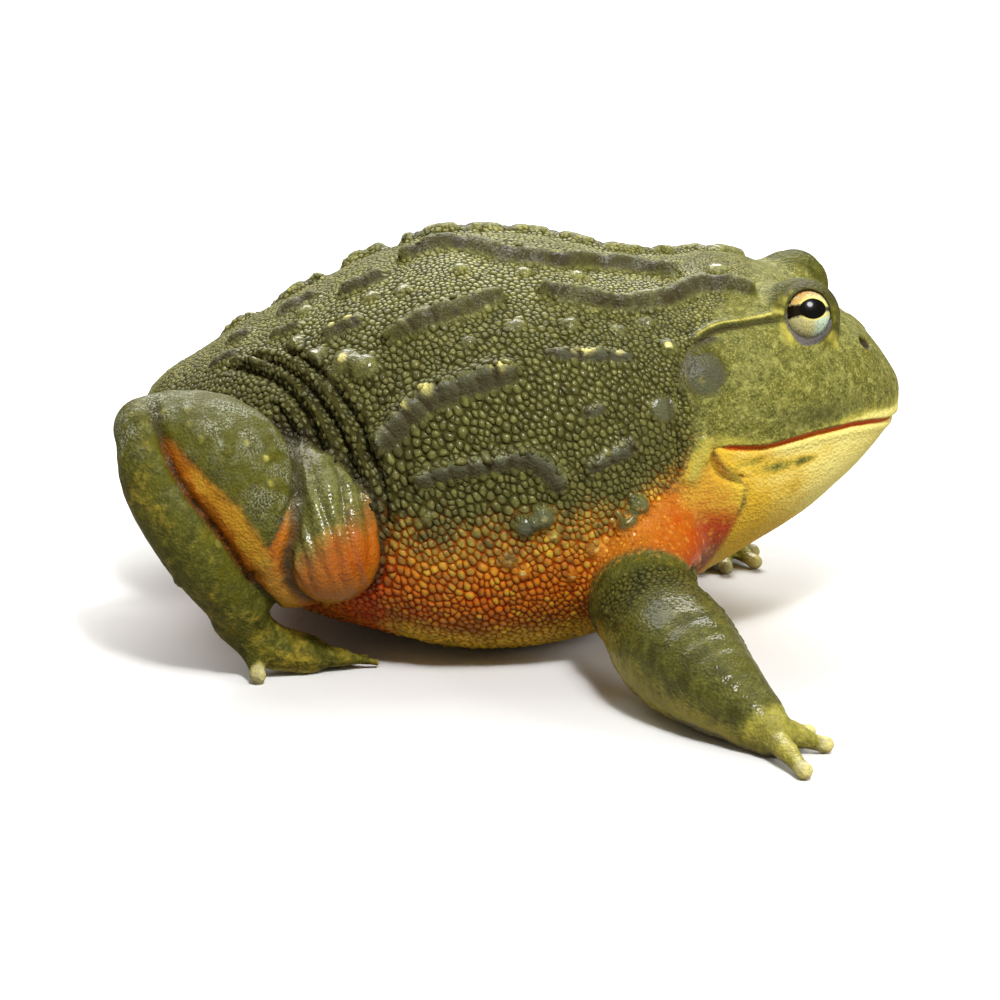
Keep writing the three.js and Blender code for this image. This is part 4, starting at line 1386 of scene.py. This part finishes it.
def hide_material(name, has_crown):
    """The finish of the bare skin, or of the granules, which have crowns."""
    material, s, principled = new_material(name)
    place = s.add("ShaderNodeTexCoord", out=3)
    read = lambda attribute: s.add("ShaderNodeAttribute", attribute_name=attribute, out=2)
    marks = {mark_name.capitalize(): read(mark_name) for mark_name in (*MARKS, *TEXTURE_MARKS)}
    tone = read("tone") if has_crown else 0.5
    colour = s.use(colouring, Place=place, Crown=read("crown"), Tone=tone, **marks)
    wrinkle, pores = (0.3, 0.35) if has_crown else (1.0, 0.8)
    height = s.use(grain_relief, Place=place, Wrinkle=wrinkle, Pores=pores)
    wet = read("wet")
    drops = s.noise(place, 500.0, 2.0)
    shine = s.add("ShaderNodeMapRange", s.plus(wet, s.times(drops, 0.5)), 0.1, 1.2, 0.58, 0.44)
    s.give(
        principled,
        Base_Color=colour,
        Roughness=s.add("ShaderNodeMapRange", read("crown"), 0.1, 0.6, 0.9, shine),
        Specular_IOR_Level=0.26,
        Coat_Weight=s.times(s.times(wet, 0.85), s.step(0.3, 0.8, read("crown"))),
        Coat_Roughness=0.15 if has_crown else 0.1,
        Normal=s.bump(height, 0.5, 0.0004 if has_crown else 0.0006),
    )
    if not has_crown:  # the film of water half fills the grain of the bare skin
        s.give(principled, Coat_Normal=s.bump(height, 0.2, 0.0004))
    return material


skin_mesh.materials.append(hide_material("bare hide", False))


# ---- Granules ----
# The back and sides are paved with low horny granules, each filling its own cell between dark
# creases. They are small on the back and neck, and large and round on the lower flank.
ROOT_SPACING = 0.42 * MM
ROOTS_PER_AREA = 1e7  # more than fit, so that only the spacing counts
GRANULE_SIDES = 8
# Each ring: its radius as a share of the cell's, its height as a share of the granule's (or, if
# negative, in mm under the skin), and how much of the top's colour it has; the rest is the crease
# colour, so the granule's sides are painted darker as shade.
GRANULE_RINGS = ((1.06, -0.4, 0.0), (0.9, 0.36, 0.28), (0.54, 0.84, 0.88))
GRANULE_HEIGHT = 0.42  # of its spacing
BAKE_PATCH = 0.0015  # half the size of a granule in the map for baking


def roots_tree(material):
    """Scatters roots over the skin where it is granular."""
    tree = bpy.data.node_groups.new("granule roots", "GeometryNodeTree")
    for name, kind in (
        ("Geometry", "Geometry"), ("Spacing", "Float"), ("Least grain", "Float"), ("Seed", "Int"),
        ("Finish", "Material"),
    ):
        tree.interface.new_socket(name, in_out="INPUT", socket_type=f"NodeSocket{kind}")
    tree.interface.new_socket("Geometry", in_out="OUTPUT", socket_type="NodeSocketGeometry")
    nodes, links = tree.nodes, tree.links
    entry, exit = nodes.new("NodeGroupInput"), nodes.new("NodeGroupOutput")
    scatter = nodes.new("GeometryNodeDistributePointsOnFaces")
    scatter.distribute_method = "POISSON"
    grainy = nodes.new("GeometryNodeInputNamedAttribute")
    grainy.data_type = "FLOAT"
    grainy.inputs["Name"].default_value = "grain"
    enough = nodes.new("FunctionNodeCompare")
    links.new(grainy.outputs["Attribute"], enough.inputs["A"])
    links.new(entry.outputs["Least grain"], enough.inputs["B"])
    links.new(entry.outputs["Geometry"], scatter.inputs["Mesh"])
    links.new(enough.outputs["Result"], scatter.inputs["Selection"])
    links.new(entry.outputs["Spacing"], scatter.inputs["Distance Min"])
    scatter.inputs["Density Max"].default_value = ROOTS_PER_AREA
    links.new(entry.outputs["Seed"], scatter.inputs["Seed"])
    facing = nodes.new("GeometryNodeStoreNamedAttribute")
    facing.data_type = "FLOAT_VECTOR"
    facing.inputs["Name"].default_value = "facing"
    links.new(scatter.outputs["Points"], facing.inputs["Geometry"])
    links.new(scatter.outputs["Normal"], facing.inputs["Value"])
    as_vertices = nodes.new("GeometryNodePointsToVertices")
    realize = nodes.new("GeometryNodeRealizeInstances")
    finish = nodes.new("GeometryNodeSetMaterial")
    for a, b in ((facing, as_vertices), (as_vertices, realize), (realize, finish), (finish, exit)):
        links.new(a.outputs[0], b.inputs[0])
    links.new(entry.outputs["Finish"], finish.inputs["Material"])
    return tree


def grown(tree, **values):
    """The mesh that a tree of nodes makes on the skin, with its inputs set by name."""
    modifier = skin.modifiers.new(tree.name, "NODES")
    modifier.node_group = tree
    for item in tree.interface.items_tree:
        key = item.name.replace(" ", "_")
        if item.in_out == "INPUT" and key in values:
            modifier[item.identifier] = values[key]
    bpy.context.view_layer.update()
    evaluated = skin.evaluated_get(bpy.context.evaluated_depsgraph_get())
    made = bpy.data.meshes.new_from_object(evaluated)
    skin.modifiers.remove(modifier)
    return made


def read_values(mesh, name, width=1):
    values = np.zeros(len(mesh.vertices) * width, np.float32)
    mesh.attributes[name].data.foreach_get("value" if width == 1 else "vector", values)
    return values.astype(float) if width == 1 else values.reshape(-1, width).astype(float)


hide = hide_material("granules", True)
root_mesh = grown(roots_tree(hide), Spacing=ROOT_SPACING, Least_grain=0.06, Seed=7, Finish=hide)
place = read_values(root_mesh, "position", 3) / MM
root_spacing = read_values(root_mesh, "spacing")
rng = np.random.default_rng(11)
LIE = np.array((0.5, 0, -0.87))  # the granules are long this way, down and forwards
STRETCH = 0.22  # and by this share


def squeezed(p):
    """Places measured so that the long granules count as round."""
    return p - STRETCH * (p @ LIE)[:, None] * LIE


def finder(places):
    """Finds which of the places are near a point."""
    made = KDTree(len(places))
    for i, p in enumerate(places):
        made.insert(p, i)
    made.balance()
    return made


# Each granule keeps its own distance from the rest, taken in a random order.
wanted = root_spacing * np.clip(np.exp(rng.normal(-0.1, 0.25, len(place))), 0.55, 1.5)
measured = squeezed(place)
tree = finder(measured)
free, kept = np.ones(len(place), bool), []
for i in rng.permutation(len(place)):
    if free[i]:
        kept.append(i)
        for _, j, _ in tree.find_range(measured[i], wanted[i]):
            free[j] = False
place, wanted = place[kept], wanted[kept]
root_marks = {name: read_values(root_mesh, name)[kept] for name in (*mark, "grain", "stature")}
facing = read_values(root_mesh, "facing", 3)[kept]
facing /= np.linalg.norm(facing, axis=1, keepdims=True)
measured = squeezed(place)
tree = finder(measured)
NEIGHBOURS = 12  # that can bound a granule's cell
beside = np.array([[j for _, j, _ in tree.find_n(p, NEIGHBOURS + 1)][1:] for p in measured])

# Each granule's cell ends half way to its neighbours, with rounded corners.
count = len(place)
ahead = np.array((1.0, 0, 0)) - facing * facing[:, :1]
ahead /= np.linalg.norm(ahead, axis=1, keepdims=True)
across = np.cross(facing, ahead)
turns = rng.uniform(0, 2 * math.pi, count)[:, None]
turns = turns + np.arange(GRANULE_SIDES) * 2 * math.pi / GRANULE_SIDES
offset = place[beside] - place[:, None]
flat = np.stack([(offset * ahead[:, None]).sum(2), (offset * across[:, None]).sum(2)], -1)
lie = np.column_stack([ahead @ LIE, across @ LIE])
flat -= STRETCH * (flat * lie[:, None]).sum(2, keepdims=True) * lie[:, None]
nearness = 2 * flat / np.maximum((flat**2).sum(2, keepdims=True), 0.05)
pull = nearness[..., :1] * np.cos(turns)[:, None] + nearness[..., 1:] * np.sin(turns)[:, None]
CORNER = 24  # more is sharper
cell = (np.maximum(pull, 1e-3) ** CORNER).sum(1) ** (-1 / CORNER)
cell = np.minimum(cell, 1.3 * wanted[:, None])
grain_here = ramp(0.03, 0.7, root_marks["grain"])
cell *= (0.55 + 0.45 * grain_here)[:, None]
tall = GRANULE_HEIGHT * wanted * rng.uniform(0.75, 1.25, count) * (0.3 + 0.7 * grain_here)
tall *= root_marks["stature"]
low_crown = (1 - root_marks["stature"]) * 0.5
tone = np.clip(rng.normal(0.5, 0.22, count), 0, 1)

# In the map for baking, each granule has a patch of its own, placed by where it grows.
base_u = (place[:, 0] - low[0]) / (high[0] - low[0])
above_widest = place[:, 2] - section_at(place[:, 0])[0]
base_v = np.arctan2(above_widest, place[:, 1]) / (2 * math.pi) + 0.5
corners, crowns, maps = [], [], []
for reach, lift, crown in (*GRANULE_RINGS, (0.0, 1.0, 1.0)):
    ring = turns if reach else turns[:, :1]
    radius = reach * (cell if reach else cell[:, :1])
    height = np.where(lift < 0, lift, lift * tall)[:, None]
    east, north = radius * np.cos(ring), radius * np.sin(ring)
    longer = (east * lie[:, :1] + north * lie[:, 1:]) * STRETCH / (1 - STRETCH)
    east, north = east + longer * lie[:, :1], north + longer * lie[:, 1:]
    corners.append(
        place[:, None] + east[..., None] * ahead[:, None]
        + north[..., None] * across[:, None] + height[..., None] * facing[:, None]
    )
    crowns.append(np.broadcast_to((crown + (1 - crown) * low_crown)[:, None], ring.shape))
    size = np.maximum(cell.max(1), 0.1)[:, None]
    map_u = base_u[:, None] + BAKE_PATCH * east / size
    map_v = base_v[:, None] + BAKE_PATCH * north / size
    maps.append(np.stack([map_u, map_v], -1))
corners, crowns, maps = (np.concatenate(parts, 1) for parts in (corners, crowns, maps))
around_ring = [(k, (k + 1) % GRANULE_SIDES) for k in range(GRANULE_SIDES)]
*lower_rings, top_ring, tip = (r * GRANULE_SIDES for r in range(len(GRANULE_RINGS) + 1))
ring_faces = [
    (a + r, b + r, b + r + GRANULE_SIDES, a + r + GRANULE_SIDES)
    for r in lower_rings for a, b in around_ring
]
top_faces = [(a + top_ring, b + top_ring, tip) for a, b in around_ring]
base_face = tuple(range(GRANULE_SIDES))[::-1]
each_faces = [*ring_faces, *top_faces, base_face]
points_each = corners.shape[1]


def granule_piece(name, chosen, slot):
    """A joined mesh of the chosen granules."""
    total = len(chosen)
    corner_ids = np.concatenate([np.array(face) for face in each_faces])
    face_sizes = np.array([len(face) for face in each_faces])
    mesh = bpy.data.meshes.new(name)
    mesh.vertices.add(total * points_each)
    mesh.vertices.foreach_set("co", (corners[chosen] * MM).ravel())
    loops = (corner_ids[None] + (np.arange(total) * points_each)[:, None]).ravel()
    mesh.loops.add(len(loops))
    mesh.loops.foreach_set("vertex_index", loops)
    sizes = np.tile(face_sizes, total)
    mesh.polygons.add(len(sizes))
    mesh.polygons.foreach_set("loop_start", np.concatenate([[0], np.cumsum(sizes)[:-1]]))
    mesh.update(calc_edges=True)
    mesh.shade_smooth()
    uv = mesh.uv_layers.new(name="OFBake")
    uv.uv.foreach_set("vector", maps[chosen].reshape(-1, 2)[loops].ravel())
    for attribute, values in {**root_marks, "tone": tone}.items():
        if attribute not in ("grain", "smooth", "stature"):
            store(mesh, attribute, np.repeat(values[chosen], points_each))
    store(mesh, "crown", crowns[chosen])
    mesh.materials.append(hide)
    piece = put_in_scene(name, mesh)
    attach(piece, "root")


# The regions, each with the angles above the widest line between which it lies.
REGIONS = (
    ("belly", -91, 2, "throat_skin"), ("flank", 2, 42, "back_skin"), ("back", 42, 91, "back_skin"),
)
root_angle = np.degrees(np.arctan2(above_widest, np.abs(place[:, 1])))
in_front = place[:, 0] > -5
for side, side_name in zip(SIDES, ("right", "left")):
    for region, least, most, slot in REGIONS:
        in_region = (place[:, 1] * side > 0) & (root_angle > least) & (root_angle <= most)
        for end, at_end in (("front", in_front), ("rear", ~in_front)):
            chosen = np.flatnonzero(in_region & at_end)
            granule_piece(f"granules_{region}_{end}_{side_name}", chosen, slot)


# ---- Eyes ----
# Two wet balls under clear corneas. The iris is gold above and pale blue green below, and the
# pupil is a broad dark oval with a point in front.
GAZE = {side: Vector((0.17, side * 0.893, 0.415)).normalized() for side in SIDES}
EYE_ROWS, EYE_COLUMNS = 48, 96
CORNEA_BULGE = 0.02  # in ball radii, over the iris and pupil
PUPIL = (0.44, 0.345)  # half its length and height, in ball radii
eye_finish, s, principled = new_material("eye")
gaze = s.add("ShaderNodeAttribute", attribute_name="gaze", out=1)
gaze_x, gaze_y = (s.add("ShaderNodeSeparateXYZ", gaze, out=k) for k in range(2))
patches = s.noise(gaze, 14.0, 4.0, 0.65)
flecks = s.noise(gaze, 30.0, 2.0)
iris = s.blend(s.step(-0.18, 0.12, gaze_y), paint(214, 208, 146), paint(232, 222, 156))
for first, second, colour in (
    (s.step(0.0, -0.4, gaze_x), s.step(0.05, 0.3, gaze_y), paint(226, 188, 108)),
    (s.step(-0.15, 0.2, gaze_x), s.step(-0.15, -0.4, gaze_y), paint(196, 224, 204)),
    (s.step(0.5, 0.66, patches), 0.6, paint(160, 136, 80)),
    (s.step(0.48, 0.6, flecks), s.step(0.35, 0.62, gaze_y), paint(206, 96, 52)),
    (s.step(0.52, 0.66, flecks), s.step(-0.3, -0.6, gaze_y), paint(104, 92, 44)),
    (s.step(0.56, 0.7, s.noise(gaze, 8.0, 3.0)), 0.6, paint(232, 232, 196)),
):
    iris = s.blend(s.times(first, second), iris, colour)
# The pupil's edge is an oval, longer in front, and a dark wedge runs back and forwards from it.
across_pupil = s.size_of(s.sum("DIVIDE", s.plus(gaze_x, 0.03), PUPIL[0]))
up_pupil = s.size_of(s.sum("DIVIDE", gaze_y, PUPIL[1]))
oval = s.plus(s.sum("POWER", across_pupil, 1.7), s.sum("POWER", up_pupil, 2.1))
oval = s.sum("POWER", oval, 0.5)
wedge_height = s.add("ShaderNodeMapRange", gaze_x, -0.85, 0.5, 0.24, 0.08)
wedge_height = s.sum("MULTIPLY_ADD", patches, 0.16, s.plus(wedge_height, -0.08))
wedge = s.step(0.05, -0.05, s.sum("SUBTRACT", s.size_of(s.plus(gaze_y, 0.02)), wedge_height))
wedge = s.times(wedge, s.step(0.25, 0.4, s.size_of(gaze_x)))
wedge_colour = s.blend(s.step(0.0, 0.2, gaze_x), paint(26, 18, 10), paint(70, 68, 58))
iris = s.blend(s.times(s.step(1.24, 1.08, oval), 0.85), iris, paint(240, 228, 128))
iris = s.blend(wedge, iris, wedge_colour)
iris = s.blend(s.step(1.05, 0.97, oval), iris, paint(2, 2, 2))
s.give(
    principled, Base_Color=iris, Roughness=0.25, Specular_IOR_Level=0.2, Coat_IOR=1.36,
    Coat_Weight=1.0, Coat_Roughness=0.02,
)
for side, name in zip(SIDES, ("right", "left")):
    out = np.array(GAZE[side])
    up = np.array((0, 0, 1.0)) - out * out[2]
    up /= np.linalg.norm(up)
    front = np.cross(up, out)
    front = front if front[0] > 0 else -front
    rows = np.linspace(0, math.pi, EYE_ROWS + 1)[1:-1]
    columns = np.arange(EYE_COLUMNS) * 2 * math.pi / EYE_COLUMNS
    ring = np.stack([
        np.outer(np.sin(rows), np.cos(columns)), np.outer(np.sin(rows), np.sin(columns)),
        np.outer(np.cos(rows), np.ones(EYE_COLUMNS)),
    ], -1)
    local = np.vstack([[(0, 0, 1)], ring.reshape(-1, 3), [(0, 0, -1)]])
    bulge = 1 + CORNEA_BULGE * ramp(0.75, 0.95, local[:, 2])
    spot = local[:, :1] * front + local[:, 1:2] * up + local[:, 2:] * out
    ball = EYE_CENTRE[side] + spot * (EYE_RADIUS * bulge)[:, None]
    around_row = [(k, (k + 1) % EYE_COLUMNS) for k in range(EYE_COLUMNS)]
    faces = [(0, 1 + a, 1 + b) for a, b in around_row]
    for row in range(1, 1 + (EYE_ROWS - 2) * EYE_COLUMNS, EYE_COLUMNS):
        below = row + EYE_COLUMNS
        faces += [(row + a, below + a, below + b, row + b) for a, b in around_row]
    last = len(local) - 1
    faces += [(last, last - EYE_COLUMNS + b, last - EYE_COLUMNS + a) for a, b in around_row]
    if np.cross(front, up) @ out < 0:
        faces = [face[::-1] for face in faces]
    mesh = bpy.data.meshes.new(f"eyeball_{name}")
    mesh.from_pydata(ball * MM, [], faces)
    mesh.shade_smooth()
    store(mesh, "gaze", local, "FLOAT_VECTOR", "vector")
    mesh.materials.append(eye_finish)
    eyeball = put_in_scene(f"eyeball_{name}", mesh)
    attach(eyeball, "root")
    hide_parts(f"eye_{name}")


# ---- Stage ----
# A pale floor and a white room, as in a studio, with round soft lamps. The strongest hangs above
# on the frog's right. The floor and the room look white, but throw only a dim warm light.
FLOOR_HALF = 3  # half the floor's width in metres
CENTRE = (0, 0, 0.03)  # the middle of the frog, at which most lamps aim
floor_mesh = bpy.data.meshes.new("floor")
corner_signs = ((-1, -1), (1, -1), (1, 1), (-1, 1))
floor_corners = [(x * FLOOR_HALF, y * FLOOR_HALF, 0) for x, y in corner_signs]
floor_mesh.from_pydata(floor_corners, [], [(0, 1, 2, 3)])
floor = put_in_scene("floor", floor_mesh)
pale, s, principled = new_material("pale floor")
seen = s.add("ShaderNodeLightPath")
floor_colour = s.blend(seen, (0.32, 0.29, 0.21, 1), (0.86, 0.86, 0.86, 1))
s.give(principled, Base_Color=floor_colour, Roughness=0.9)
floor_mesh.materials.append(pale)

# Each lamp: its name, place and aim, its width in metres, its watts, and whether it is mirrored.
for name, place, aim, width, watts, mirrored in (
    ("lamp above", (0.2, -0.66, 0.92), CENTRE, 0.36, 6.8, True),
    ("small lamp above", (0.16, -0.7, 0.86), CENTRE, 0.12, 5.2, False),
    ("lamp front", (0.95, -0.35, 0.5), (0.03, 0, 0.03), 0.5, 4.2, False),
    ("lamp rear", (-0.5, 0.3, 0.9), CENTRE, 0.7, 3.6, True),
    ("lamp backdrop", (0, 1.5, 1.3), (0, 1.5, 0), 1.6, 45, True),
):
    lamp = bpy.data.lights.new(name, "AREA")
    lamp.shape = "DISK"
    lamp.size = width
    lamp.energy = watts
    holder = put_in_scene(name, lamp)
    holder.location = place
    holder.rotation_euler = (Vector(aim) - Vector(place)).to_track_quat("-Z", "Y").to_euler()
    holder.visible_glossy = mirrored

world = bpy.data.worlds.new("studio")
bpy.context.scene.world = world
world.use_nodes = True
s = Sheet(world.node_tree)
background = world.node_tree.nodes["Background"]
seen = s.add("ShaderNodeLightPath")
s.feed(background.inputs["Color"], s.blend(seen, (1.0, 0.93, 0.7, 1), (1, 1, 1, 1)))
s.feed(background.inputs["Strength"], s.add("ShaderNodeMapRange", seen, 0.0, 1.0, 0.2, 1.0))
bpy.context.scene.view_settings.view_transform = "Standard"

AIM = Vector((-0.00135, 0, 0.02609))
CAMERA_DISTANCE = 0.9
CAMERA_RISE = math.radians(15)  # how far it looks down on the frog's right side
camera = bpy.data.cameras.new("camera")
camera.lens = 144
camera.sensor_width = 36
camera.clip_start = 0.05
eye_point = put_in_scene("camera", camera)
away = Vector((0, -math.cos(CAMERA_RISE), math.sin(CAMERA_RISE)))
eye_point.location = AIM + CAMERA_DISTANCE * away
eye_point.rotation_euler = (AIM - eye_point.location).to_track_quat("-Z", "Y").to_euler()
bpy.context.scene.camera = eye_point
